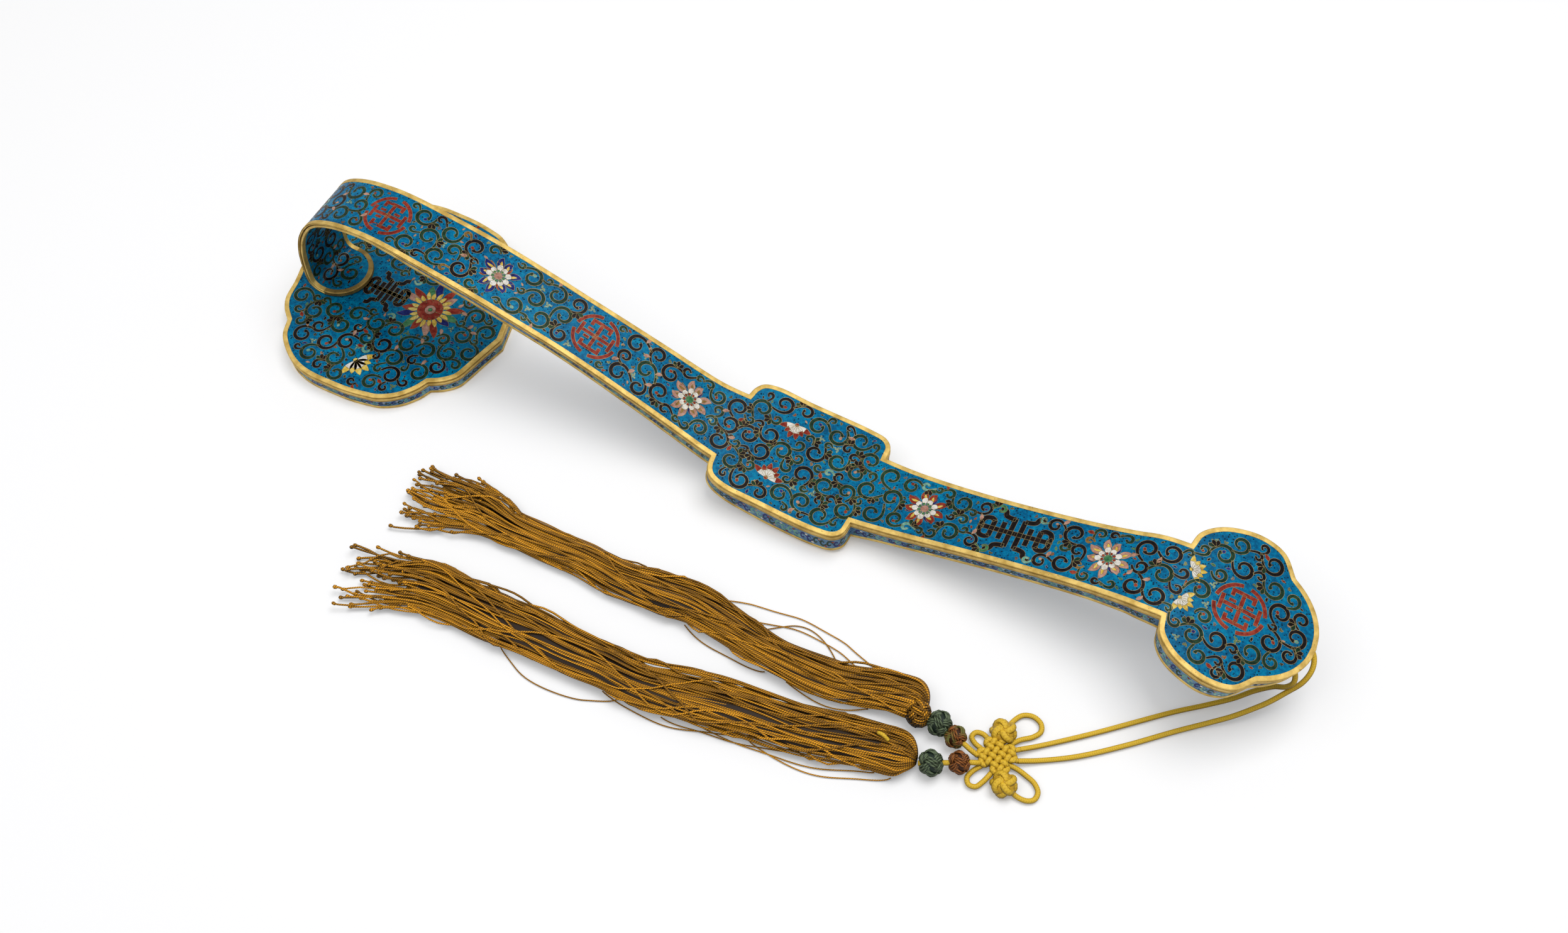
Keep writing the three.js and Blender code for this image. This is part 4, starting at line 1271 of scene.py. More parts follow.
@dataclass
class Inlay:
    """Coloured cells and wires laid on one face of the scepter."""

    name: str
    surface: Place
    cells: dict[Glaze, Strips] = field(default_factory=dict)
    wires: Strips = field(default_factory=list)

    def cell(self, glaze: Glaze, left: Points, right: Points, layer: float) -> None:
        """Fill the strip between two edges, on a layer that lies over the lower ones."""
        self.cells.setdefault(glaze, []).append((left, right, layer * LAYER_LIFT))

    def wire(self, path: Points, layer: float) -> None:
        """Lay a wire along a path."""
        side = mitred(path) * WIRE_WIDTH / 2
        self.wires.append((path + side, path - side, layer * LAYER_LIFT))

    def build(self, palette: Palette) -> None:
        """Make one piece for each colour and one for the wires."""
        for glaze, strips in self.cells.items():
            piece = self._mesh(f"{glaze.name.lower()}_cells", strips, CELL_LIFT, palette.glazes[glaze])
            stands_for(piece, Slot.ENAMEL)
        if self.wires:
            piece = self._mesh("cell_wires", self.wires, WIRE_LIFT, palette.wire)
            stands_for(piece, Slot.GILT)

    def _mesh(self, part: str, strips: Strips, lift: float, material: Finish) -> Piece:
        """Put strips into space as one mesh."""
        flat: list[Points] = []
        lifts: list[Points] = []
        faces: list[Points] = []
        count = 0
        for left, right, rise in strips:
            stops = len(left)
            flat.append(np.vstack([left, right]))
            lifts.append(np.full(2 * stops, lift + rise))
            i = np.arange(stops - 1) + count
            faces.append(np.stack([i + stops, i + stops + 1, i + 1, i], axis=1))
            count += 2 * stops
        points = np.vstack(flat)
        placed = self.surface(points[:, 0], points[:, 1], np.concatenate(lifts))
        return make_object(f"{self.name}_{part}", placed, np.vstack(faces), material)


@dataclass
class Pen:
    """Draws motifs on an inlay at one place, turned, scaled and perhaps mirrored."""

    inlay: Inlay
    at: tuple[float, float] = (0, 0)
    turn: float = 0.0
    flip: int = 1
    layer: float = 0.0
    wired: bool = True

    def there(self, points: Sequence[Sequence[float]] | Points) -> Points:
        """Return local points on the surface."""
        rows = np.asarray(points, dtype=float) * [1, self.flip]
        c, s = math.cos(self.turn), math.sin(self.turn)
        return rows @ np.array([[c, s], [-s, c]]) + self.at

    def stroke(self, glaze: Glaze, path: Points, width: Row | float) -> None:
        """Draw a band of even or changing width with a wire on both edges.

        Args:
            glaze: Its colour.
            path: Its centre line, local.
            width: Its full width, one value or one per point, in millimetres.
        """
        line = self.there(path)
        half = np.broadcast_to(np.asarray(width, dtype=float) / 2, (len(line),))[:, None]
        side = mitred(line)
        left, right = line + side * half, line - side * half
        self.inlay.cell(glaze, left, right, self.layer)
        if not self.wired:
            return
        self.inlay.wire(left, self.layer)
        self.inlay.wire(right, self.layer)
        for i in (0, -1):
            if half[i] > WIRE_WIDTH:
                self.inlay.wire(np.stack([left[i], right[i]]), self.layer)

    def leaf(
        self, glaze: Glaze, root: Sequence[float], tip: Sequence[float], width: float, bend: float = 0.0,
        tip_glaze: Glaze | None = None, fullness: float = 0.8,
    ) -> None:
        """Draw a pointed leaf or petal from root to tip.

        Args:
            glaze: Its colour.
            root: Where it starts, local.
            tip: Where it ends, local.
            width: Its full width.
            bend: How far its middle bows to the left.
            tip_glaze: A second colour for its outer half.
            fullness: Below one, the widest place moves towards the tip.
        """
        t = np.linspace(0, 1, 10)[:, None]
        root_at, tip_at = np.asarray(root, dtype=float), np.asarray(tip, dtype=float)
        across = np.array([-(tip_at - root_at)[1], (tip_at - root_at)[0]])
        across = across / max(np.linalg.norm(across), 1e-9)
        path = root_at + (tip_at - root_at) * t + across * bend * 4 * t * (1 - t)
        widths = width * np.sin(math.pi * t[:, 0] ** (1 / fullness)) ** 0.85 + 0.02
        if tip_glaze is None:
            self.stroke(glaze, path, widths)
            return
        self.stroke(tip_glaze, path[5:], widths[5:])
        self.stroke(glaze, path[:6], widths[:6])

    def disc(self, glaze: Glaze, at: Sequence[float], radius: float) -> None:
        """Draw a small round cell."""
        steps = max(7, int(radius * 6))
        half = radius * ray(np.linspace(0, math.pi, steps))
        centre = np.asarray(at)
        self.inlay.cell(glaze, self.there(centre + half * [1, -1]), self.there(centre + half), self.layer)
        turn = np.linspace(0, 2 * math.pi, 2 * steps - 1)
        self.inlay.wire(self.there(centre + radius * ray(turn)), self.layer)

    def ring(self, glaze: Glaze, inner: float, outer: float) -> None:
        """Draw a round band about the pen's place."""
        self.stroke(glaze, (inner + outer) / 2 * ray(np.linspace(0, 2 * math.pi, 41)), outer - inner)

    def star(
        self, glazes: Sequence[Glaze], count: int, reach: tuple[float, float], width: float,
        lengths: Sequence[float], sway: float, fullness: float,
    ) -> None:
        """Draw a ring of petals.

        Args:
            glazes: Their colours, in turn.
            count: How many.
            reach: How far from the middle they start and end.
            width: Their full width.
            lengths: Shares of the outer reach, in turn.
            sway: How far the odd ones' tips lean round, in radians; the even ones lean half as far.
            fullness: Below one, the widest place moves towards the tip.
        """
        for i in range(count):
            angle = 2 * math.pi * (i + 0.5) / count
            lean = sway * (1 if i % 2 else 0.5)
            root = reach[0] * ray(angle)
            tip = reach[1] * lengths[i % len(lengths)] * ray(angle + lean)
            bend = width * 0.25 * np.sign(lean)
            self.layer += 0.5 * (i % 2)
            self.leaf(glazes[i % len(glazes)], root, tip, width, bend, None, fullness)
            self.layer -= 0.5 * (i % 2)

    def scroll(
        self, glaze: Glaze, radius: float, start: float, hand: int, reach: float, width: float,
        bud: Glaze | None = None,
    ) -> None:
        """Draw a spiral tendril round the pen's place.

        Args:
            glaze: Its colour.
            radius: The outer radius of its centre line.
            start: The angle it starts at.
            hand: 1 to turn left, -1 to turn right.
            reach: How far beyond the radius it starts, to meet its neighbour.
            width: Its width at the middle.
            bud: A bud's colour at its inner end, or None.
        """
        turns = 1.12 if radius > 2.4 else 0.95
        t = np.linspace(0, 1, max(14, int(radius * 8)))
        r = radius * (1 - 0.16 * t - 0.52 * t**2.6) + reach * np.exp(-t * 16)
        path = r[:, None] * ray(start + hand * 2 * math.pi * turns * t)
        bulb = 0.55 * np.exp(-(((t - 0.96) / 0.05) ** 2))
        widths = width * (0.62 + 0.5 * np.sin(math.pi * np.clip(t * 1.15, 0, 1)) + bulb)
        self.stroke(glaze, path, widths)
        if bud is not None:
            inner = path[-1]
            away = unit(path[-1] - path[-3])
            self.leaf(bud, inner - away * 0.2, inner + away * radius * 0.42, width * 0.95, 0.15 * hand)

    def lotus(
        self, outer: Sequence[Glaze], inner: Glaze, dots: Glaze, heart: Glaze, radius: float = 9.2
    ) -> None:
        """Draw an open lotus seen from the front.

        Args:
            outer: Colours of the pointed outer petals, of the thorns between them and of the petals' streaks.
            inner: Colour of the rounded petals.
            dots: Colour of the ring of seeds.
            heart: Colour of the middle.
            radius: Out to the longest tips.
        """
        petals, thorns, streaks = outer
        long_and_short, three_lengths = (1.0, 0.86), (1.0, 0.86, 0.94)
        for glaze, count, start, end, width, lengths, sway, fullness in (
            (thorns, 12, 0.4, 0.84, 0.15, long_and_short, 0.3, 1.0),
            (petals, 9, 0.36, 1, 0.33, three_lengths, 0.22, 1.1),
            (streaks, 9, 0.44, 0.8, 0.11, three_lengths, 0.32, 0.9),
            (inner, 9, 0.16, 0.56, 0.27, long_and_short, 0.05, 0.62),
        ):
            self.star([glaze], count, (radius * start, radius * end), radius * width, lengths, sway, fullness)
            self.layer += 1
        for i in range(9):
            self.disc(dots, ray(2 * math.pi * i / 9) * radius * 0.25, radius * 0.06)
        self.disc(heart, (0, 0), radius * 0.17)
        self.layer -= 4

    def side_lotus(self, petals: Glaze, tips: Glaze, size: float) -> None:
        """Draw a small lotus seen from the side, opening along the pen's direction."""
        for angle, length in ((-72, 1.0), (-42, 0.8), (-14, 0.95), (14, 0.95), (42, 0.8), (72, 1.0)):
            tip = ray(math.radians(angle)) * size * length
            self.leaf(petals, (0, 0), tip, size * 0.34, 0.06 * np.sign(angle), tips, 0.9)
        self.disc(tips, (-0.2, 0), size * 0.12)

    def bloom(self, radius: float) -> None:
        """Draw the head's large flower: a red heart, a ring of yellow petals and flame-like sepals."""
        sepals = (Glaze.RED, Glaze.PINK, Glaze.RED, Glaze.NAVY, Glaze.LEAF_GREEN)
        self.star(sepals, 15, (radius * 0.42, radius * 1.12), radius * 0.23, (1.0, 0.8, 0.92), 0.3, 1.1)
        self.layer += 1
        self.star([Glaze.YELLOW], 19, (radius * 0.3, radius * 0.7), radius * 0.13, (1.0, 0.9), 0.06, 0.8)
        self.layer += 1
        self.ring(Glaze.RED, radius * 0.17, radius * 0.4)
        self.ring(Glaze.PINK, radius * 0.07, radius * 0.17)
        self.disc(Glaze.LEAF_GREEN, (0, 0), radius * 0.07)
        self.layer -= 2

    def roundel(self, glaze: Glaze, radius: float) -> None:
        """Draw a round fret: a broken ring round barred hooks, the same on both sides of each axis."""
        width = radius * 0.15
        for quarter in range(4):
            angle = np.radians(np.linspace(9, 81, 16)) + quarter * math.pi / 2
            self.stroke(glaze, radius * 0.93 * ray(angle), width)
        for sign in (1, -1):
            for points, flip, share in (
                ([(0, 0.05), (0, 0.2), (0, 0.4), (0, 0.6)], [1, sign], 1),
                ([(-0.4, 0.38), (-0.4, 0.62), (0, 0.62), (0.4, 0.62), (0.4, 0.38)], [1, sign], 1),
                ([(0.05, 0), (0.3, 0), (0.62, 0)], [sign, 1], 1),
                ([(0.7, -0.32), (0.7, 0), (0.7, 0.32)], [sign, 1], 1),
                ([(0.2, -0.2), (0.46, -0.2)], [sign, 1], 0.8),
                ([(0.2, -0.2), (0.46, -0.2)], [sign, -1], 0.8),
            ):
                self.stroke(glaze, radius * np.array(points) * flip, width * share)
        self.disc(glaze, (0, 0), width * 0.8)

    def long_fret(self, glaze: Glaze, length: float, breadth: float) -> None:
        """Draw a long fret: a shaft with hooked crossbars and curled ends, the same both ways."""
        unit_x, unit_y = length / 2, breadth / 2
        width = breadth * 0.105
        bars = (
            [(0, 0), (0.45, 0), (0.9, 0)], [(0.13, -0.7), (0.13, 0), (0.13, 0.7)],
            [(0.36, -0.42), (0.36, 0), (0.36, 0.42)], [(0.62, -0.4), (0.62, 0), (0.62, 0.4)],
        )
        hooks = (
            [(0.13, 0.66), (0.3, 0.68), (0.4, 0.74), (0.46, 0.94), (0.62, 0.98)],
            [(0.62, 0.36), (0.72, 0.46), (0.86, 0.42), (0.93, 0.2), (0.9, 0)],
        )
        for sign in (1, -1):
            for bar in bars:
                self.stroke(glaze, np.array(bar) * [unit_x * sign, unit_y], width)
            for side in (1, -1):
                for hook in hooks:
                    self.stroke(glaze, curve_through(hook, 4) * [unit_x * sign, unit_y * side], width)
            self.leaf(glaze, (0.84 * unit_x * sign, 0), (unit_x * sign, 0), width * 2.4)

    def cloud(self, glaze: Glaze, size: float, rng: np.random.Generator) -> None:
        """Draw a small ragged cloud of short crooked branches."""
        for arm in range(3):
            out = ray(2 * math.pi * arm / 3 + rng.uniform(-0.4, 0.4))
            across = np.array([-out[1], out[0]])
            path = np.array([(0, 0), out * 0.4 + across * 0.18, out * 0.72 - across * 0.16, out]) * size
            self.stroke(glaze, curve_through(path, 3), size * 0.42 * np.linspace(1, 0.5, 10))

    def palmette(self, glaze: Glaze, size: float) -> None:
        """Draw a fan of five small leaves opening along the pen's direction."""
        for angle in (-66, -34, 0, 34, 66):
            out = ray(math.radians(angle)) * size
            self.leaf(glaze, out * 0.15, out * (1 - abs(angle) / 220), size * 0.32, 0, None, 0.7)


@dataclass
class Vine:
    """Scrolling tendrils packed over a face, symmetric about the scepter's axis.

    Each tendril starts on its neighbour's ring and turns the other way, so that they read as
    one growing stem. Space that no scroll fits is filled with buds, leaves and small clouds.
    """

    inlay: Inlay
    low: float
    high: float
    half: Callable[[Row], Row]
    seed: int
    radii: tuple[float, ...] = (3.9, 3.3, 2.8, 2.3, 1.9, 1.5)
    spacing: float = 0.62
    margin: float = 0.45
    stem_reach: float = 2.6
    taken: list[Triple] = field(default_factory=list)
    rings: list[Triple] = field(default_factory=list)

    @classmethod
    def over(
        cls, inlay: Inlay, edge: tuple[Row, Row], seed: int, low: float | None = None,
        high: float | None = None,
    ) -> Vine:
        """Return a vine for one face.

        Args:
            inlay: The face's inlay.
            edge: Stations of the face and its half width at each.
            seed: Which of the vines it is.
            low: Where it starts, or None for the face's own start.
            high: Where it ends, or None for the face's own end.

        Returns:
            The vine, with nothing drawn yet.
        """
        stations, halves = edge
        low = float(stations[0]) if low is None else low
        high = float(stations[-1]) if high is None else high
        return cls(inlay, low, high, lambda u: np.interp(u, stations, halves), SEED + seed)

    def keep_clear(self, u: float, v: float, radius: float) -> None:
        """Leave a round place for another motif."""
        self.taken.append((u, v, radius))

    def room(self, u: float, v: float) -> float:
        """Return the radius of the largest free circle round a point."""
        edge = min(float(self.half(np.array([u + d]))[0]) - abs(v) for d in (-2.5, -1.2, 0, 1.2, 2.5))
        edge = min(edge, u - self.low, self.high - u) - self.margin
        circles = np.array(self.taken + self.rings)
        if len(circles) == 0:
            return edge
        gaps = np.hypot(circles[:, 0] - u, circles[:, 1] - v) - circles[:, 2] - self.spacing
        return min(edge, float(gaps.min()))

    def _area(self) -> float:
        """Return the face's area."""
        return float(np.sum(self.half(np.arange(self.low, self.high)))) * 2

    def _spot(self, rng: np.random.Generator) -> tuple[float, float]:
        """Return a random place on the face's far half."""
        u = rng.uniform(self.low, self.high)
        return u, rng.uniform(0, 1) * float(self.half(np.array([u]))[0])

    def _pack(self, rng: np.random.Generator) -> None:
        """Place the rings, widest first, in mirrored pairs or on the axis."""
        for radius in self.radii:
            for _ in range(int(self._area() * 1.1 / radius)):
                u, v = self._spot(rng)
                if self.room(u, v) < radius:
                    continue
                if v >= radius + self.spacing / 2:
                    if self.room(u, -v) >= radius:
                        self.rings += [(u, -v, radius), (u, v, radius)]
                elif v <= radius * 0.35 and self.room(u, 0) >= radius:
                    self.rings.append((u, 0.0, radius))

    def draw(self, roots: Shares) -> None:
        """Draw tendrils growing from the roots, then fill the spaces.

        Args:
            roots: Where the stems start, at the main flowers.
        """
        rng = np.random.default_rng(self.seed)
        self._pack(rng)
        rings = np.array(self.rings)
        starts = np.array(roots, dtype=float)
        away = rings[:, None, :2] - starts[None]
        from_root = np.min(np.hypot(away[..., 0], away[..., 1]), axis=1)
        order = np.argsort(from_root + 0.01 * rings[:, 1])
        hands: dict[int, int] = {}
        greens = [Glaze.DARK_GREEN] * 12 + [Glaze.BLACK] * 7
        small = greens + [Glaze.PALE, Glaze.LEAF_GREEN, Glaze.PALE, Glaze.OCHRE]
        buds = [Glaze.RED, Glaze.RED, Glaze.PINK, Glaze.PALE, Glaze.RED, Glaze.NAVY]
        twins: dict[tuple[float, float], tuple[Glaze, Glaze | None, int]] = {}
        for i in order:
            u, v, radius = (float(c) for c in rings[i])
            parent = self._parent(rings, list(hands), i)
            key = (round(u, 3), round(abs(v), 3))
            if parent is None:
                start = math.pi if u > starts[np.argmin(np.abs(starts[:, 0] - u)), 0] else 0.0
                hand, reach = (1 if v >= 0 else -1), 0.3
            else:
                offset = rings[parent, :2] - rings[i, :2]
                start = math.atan2(offset[1], offset[0])
                hand = -hands[parent]
                reach = max(0.0, float(np.hypot(*offset)) - radius - rings[parent, 2])
            if key not in twins:
                bud = buds[rng.integers(len(buds))] if rng.random() < 0.5 and radius > 2 else None
                pick = small if radius < 2.2 else greens
                twins[key] = (pick[rng.integers(len(pick))], bud, int(rng.integers(3)))
            glaze, bud, joint = twins[key]
            hands[int(i)] = hand
            pen = Pen(self.inlay, (u, v), layer=len(hands) % 3 * 0.4)
            pen.scroll(glaze, radius - 0.1, start, hand, reach + 0.25, 0.88 + 0.12 * radius, bud)
            if joint < 2 and radius > 1.8:
                self._thorns(pen, radius, start, hand, joint)
        self._fill(rng)

    def _parent(self, rings: Points, done: list[int], i: int) -> int | None:
        """Return the nearest drawn ring within reach, or None."""
        if not done:
            return None
        others = rings[done]
        gaps = np.hypot(others[:, 0] - rings[i, 0], others[:, 1] - rings[i, 1]) - others[:, 2] - rings[i, 2]
        best = int(np.argmin(gaps))
        return done[best] if gaps[best] < self.stem_reach else None

    def _thorns(self, pen: Pen, radius: float, start: float, hand: int, kind: int) -> None:
        """Draw small leaves where a tendril turns away from its neighbour."""
        angle = start + hand * 0.62
        root = radius * ray(angle)
        if self.room(*pen.there(root * 1.3)) < -0.9:
            return
        fan = Pen(self.inlay, tuple(pen.there(root)), angle + hand * 0.45, layer=1.5)
        if kind:
            fan.leaf(Glaze.PINK if radius > 2.6 else Glaze.RED, (0, 0), (3.1, 0), 1.5, 0.3 * hand)
            return
        for lean, glaze in ((-0.75, Glaze.BLACK), (0.75, Glaze.DARK_GREEN), (0.0, Glaze.BLACK)):
            fan.leaf(glaze, (0, 0), 3.1 * ray(lean), 1.6, 0.2 * lean, None, 0.66)

    def _fill(self, rng: np.random.Generator) -> None:
        """Put buds, leaves and clouds in the spaces left."""
        tints = [
            Glaze.PINK, Glaze.RED, Glaze.BLACK, Glaze.BLACK, Glaze.NAVY, Glaze.DARK_GREEN, Glaze.LEAF_GREEN,
        ]
        self.spacing = 0.42
        for least in (1.5, 1.15, 0.85, 0.65):
            for _ in range(int(self._area() / 3.2)):
                u, v = self._spot(rng)
                size = min(self.room(u, v), 2.1)
                if size < least:
                    continue
                tint = tints[rng.integers(len(tints))]
                turn = rng.uniform(0, 2 * math.pi)
                for side in (1, -1) if v > size and self.room(u, -v) > least else (1,):
                    pen = Pen(self.inlay, (u, v * side), turn * side, side)
                    self.rings.append((u, v * side, size))
                    if size > 1.45:
                        pen.cloud(Glaze.PALE if tint != Glaze.LEAF_GREEN else tint, size, rng)
                    elif size > 1.1:
                        pen.palmette(tint, size)
                    else:
                        pen.leaf(tint, (-size, 0), (size * 1.1, 0), size * 0.95, 0.15 * size)


class Palette:
    """Every finish of the object, made once."""

    def __init__(self) -> None:
        """Make the finishes."""
        self.ground = Enamel("turquoise_enamel", "006c9a", "008ab2", "00527a", "021624", 0.5).build()
        self.side = Enamel("grey_blue_enamel", "527fa6", "7fa3c4", "335c7e", "1c2f44", 0.45).build()
        self.gilt = GiltBrass("fire_gilt_brass").build()
        # A darker copy of the gilt, painted shade for the tongue's rim deep in the curl; its rubbed patches
        # are wear as on the other gilt
        self.worn_gilt = GiltBrass("gilt_brass_in_painted_shade", "957c46", "735e35", "3f2a12").build()
        self.wire = GiltBrass("gilt_cell_wire", "8a7c54", "625538", "352814", 0.5, 0.36).build()
        self.glazes = {
            glaze: Enamel(f"{glaze.name.lower()}_enamel", *glaze.value, glaze.value[2], 0.3).build()
            for glaze in Glaze
        }
        self.yellow = BraidedSilk("braided_yellow_silk", "efc53a", "d0a42b", 0.85).build()
        # The _in_shade silks are darker copies, painted shade for the hidden cores of the knot, beads and
        # tassels
        self.yellow_shade = TwistedSilk("yellow_silk_in_shade", "a87c1c", "6a480c").build()
        # valley here paints the tassel threads' sides almost black, as shade between threads
        self.ochre = TwistedSilk(
            "twisted_ochre_silk", "eaa322", "4a2904",
            strand_variation=1.6, dimmest=0.3, brightest=1.45, valley=0.02,
        ).build()
        self.dark_ochre = TwistedSilk("ochre_silk_in_shade", "3a2206", "241403").build()
        # The floss beads' strands get painted shade on their sides, down to half
        floss = {"pitch_mm": 2.2, "valley": 0.5}
        self.green = TwistedSilk("green_floss_silk", "6a7a5c", "252f22", **floss).build()
        self.brown = TwistedSilk("brown_floss_silk", "a8662f", "4d2a0e", **floss).build()
        self.olive = TwistedSilk(
            "brown_and_olive_floss_silk", "a8662f", "4d2a0e", patch="6c6a32", **floss
        ).build()
        self.green_shade = TwistedSilk("green_silk_in_shade", "34483b", "1c2a22").build()
        self.brown_shade = TwistedSilk("brown_silk_in_shade", "6e3d18", "3a1d08").build()


class Scepter:
    """The whole metal and enamel body."""

    def __init__(self, palette: Palette) -> None:
        """Work out the form."""
        self.palette = palette
        self.bar = Bar()
        self.head_outline = head_outline()
        self.bar_outline = bar_outline(self.bar.spine)
        rim = BAR.rim_width
        self.bar_back = self.bar_outline.half_width(lambda u: 0 * u + rim, 1.2)
        self.bar_front = self.bar_outline.half_width(lambda u: self.bar_layers(u).inset + rim, 1.2)
        self.head_back = self.head_outline.half_width(lambda u: 0 * u + rim, 2.0)
        self.head_front = self.head_outline.half_width(lambda u: self.head_layers(u).inset + rim, 2.0)

    def place_on_head(self, x: Row, y: Row, depth: Row | float) -> Points:
        """Return points on the head's flat back."""
        x, y, depth = np.broadcast_arrays(np.asarray(x, float), y, depth)
        return np.stack([x, y, BAR.head_thickness - depth], axis=-1)

    def head_layers(self, stations: Row) -> Layers:
        """Return the head's layers."""
        return Layers(np.full(np.shape(stations), BAR.head_thickness))

    def bar_layers(self, stations: Row) -> Layers:
        """Return the bar's layers."""
        return Layers(self.bar.thickness(stations))

    def build(self) -> None:
        """Make every piece."""
        trims = [
            EdgeTrim("head", self.head_outline, self.place_on_head, self.head_layers),
            EdgeTrim("bar", self.bar_outline, self.bar.spine.place, self.bar_layers),
        ]
        for trim in trims:
            for run in trim.outline.spans:
                if run == "tongue":
                    self.tongue_rim(trim)
                    continue
                trim.strip(run, "back_rim", self.palette.gilt, Slot.GILT)
                trim.strip(run, "side_band", self.palette.side, Slot.SIDE_ENAMEL)
                trim.strip(run, "front_rim", self.palette.gilt, Slot.GILT)
        self.panels()
        self.cord_eye()
        self.shaft_back_ornament()
        self.shaft_front_ornament()
        self.head_back_ornament()
        self.head_front_ornament()
        for trim in trims:
            for run in trim.outline.spans:
                if run != "tongue":
                    self.band_ornament(trim, run)

    def tongue_rim(self, trim: EdgeTrim) -> None:
        """Make the rim round the strap's soldered end, in a darker gilt that paints the curl's shade on it.
        """
        soft = 0.35
        corners = [
            (0, soft), (soft, 0), (BAR.rim_width, 0), (BAR.rim_width, BAR.strap_thickness),
            (soft, BAR.strap_thickness), (0, BAR.strap_thickness - soft),
        ]
        rings = section_rings(*trim.outline.run("tongue"), corners, trim.place)
        stands_for(swept("dressed_tongue_rim", rings, self.palette.worn_gilt), Slot.GILT, "tongue_rim")

    def panels(self) -> None:
        """Make the four enamelled faces."""
        recess = BAR.enamel_recess
        thick = self.bar.thickness

        def sheet_at(u: Row) -> Row:
            """Return the sheet's thickness."""
            return np.minimum(BAR.sheet, thick(u) / 2 - recess - BAR.gap / 2)

        def front(u: Row, share: Row) -> Row:
            """Return the depth of the front face."""
            return thick(u) - recess + self.bar.crown(u) * (1 - share**2)

        def level(depth: float) -> Callable[[Row, Row], Row]:
            """Return a flat face at one depth."""
            return lambda u, share: depth + 0 * u

        head, shaft = self.place_on_head, self.bar.spine.place
        deep = BAR.head_thickness
        for name, edge, outer, inner, place in (
            ("head_back_panel", self.head_back, level(recess), level(recess + BAR.sheet), head),
            ("head_front_panel", self.head_front, level(deep), level(deep - BAR.sheet), head),
            ("shaft_back_panel", self.bar_back, level(recess), lambda u, share: recess + sheet_at(u), shaft),
            ("shaft_front_panel", self.bar_front, front, lambda u, share: front(u, share) - sheet_at(u),
             shaft),
        ):
            piece = panel(f"dressed_{name}", *edge, outer, inner, place, self.palette.ground)
            stands_for(piece, Slot.ENAMEL, name)

    def cord_eye(self) -> None:
        """Make the staple under the tail that the cord hangs from."""
        station = self.bar.spine.length - BAR.eye_setback
        half, drop = BAR.eye_span / 2, BAR.eye_drop
        points = [(-half, 0.0), (-half, drop / 2)]
        points += [(-half * math.cos(a), drop / 2 * (1 + math.sin(a))) for a in np.radians([36, 90, 144])]
        points += [(half, drop / 2), (half, 0.0)]
        rows = np.array(points)
        depth = self.bar.thickness(station + rows[:, 0]) - BAR.enamel_recess + BAR.gap + rows[:, 1]
        path = self.bar.spine.place(station + rows[:, 0], 0 * rows[:, 0], depth)
        mesh = TubeMesh()
        mesh.add(even_curve(path, 0.35), BAR.eye_wire / 2, 12)
        stands_for(mesh.build("gilt_cord_eye", self.palette.gilt), Slot.GILT, "cord_eye")

    def shaft_back_ornament(self) -> None:
        """Lay the back's main flowers and roundels at their places, and vines between them."""
        spine = self.bar.spine
        inlay = Inlay("shaft_back", lambda u, v, lift: spine.place(u, v, BAR.enamel_recess - lift))
        vine = Vine.over(inlay, self.bar_back, 6, 3.0, spine.length - 2.6)
        flowers = {
            55.0: ((Glaze.YELLOW, Glaze.NAVY, Glaze.RED), Glaze.LEAF_GREEN, Glaze.PINK),
            154.5: ((Glaze.NAVY, Glaze.RED, Glaze.YELLOW), Glaze.LEAF_GREEN, Glaze.PINK),
            244.2: ((Glaze.PINK, Glaze.NAVY, Glaze.OCHRE), Glaze.RED, Glaze.LEAF_GREEN),
            348.7: ((Glaze.RED, Glaze.NAVY, Glaze.YELLOW), Glaze.LEAF_GREEN, Glaze.PINK),
            423.0: ((Glaze.PINK, Glaze.NAVY, Glaze.YELLOW), Glaze.RED, Glaze.LEAF_GREEN),
        }
        for u, (petals, dots, heart) in flowers.items():
            Pen(inlay, (u, 0.0)).lotus(petals, Glaze.WHITE, dots, heart)
            vine.keep_clear(u, 0.0, 8.2)
        for u, radius in ((103.5, 9.6), (199.5, 9.8), (473.0, 10.2)):
            Pen(inlay, (u, 0.0)).roundel(Glaze.RED, radius)
            vine.keep_clear(u, 0.0, radius)
        Pen(inlay, (386.1, 0.0)).long_fret(Glaze.BLACK, 30.0, 19.0)
        for u in (374.5, 378.0, 382.0, 386.0, 390.0, 394.0, 397.7):
            vine.keep_clear(u, 0.0, 9.4 - abs(u - 386) * 0.42)
        for side in (1, -1):
            boss_turn = (0.12 - math.pi / 2) * side
            Pen(inlay, (286.4, 13.6 * side), boss_turn).side_lotus(Glaze.WHITE, Glaze.RED, 7.2)
            vine.keep_clear(286.4, 11.6 * side, 4.8)
            Pen(inlay, (452.4, 6.4 * side), 0.5 * side).side_lotus(Glaze.WHITE, Glaze.YELLOW, 6.0)
            vine.keep_clear(454.8, 8.2 * side, 3.8)
        vine.draw([(u, 0) for u in flowers])
        inlay.build(self.palette)

    def shaft_front_ornament(self) -> None:
        """Lay the front's flowers and vines; it faces the table, and shows inside the curl."""
        spine, thick = self.bar.spine, self.bar.thickness
        stations, halves = self.bar_front

        def surface(u: Row, v: Row, lift: Row) -> Points:
            """Return points just proud of the front face, mirrored so that cells face out."""
            half = np.maximum(np.interp(u, stations, halves), 0.5)
            crown = self.bar.crown(u) * (1 - np.clip(v / half, -1, 1) ** 2)
            return spine.place(u, -v, thick(u) - BAR.enamel_recess + crown + lift)

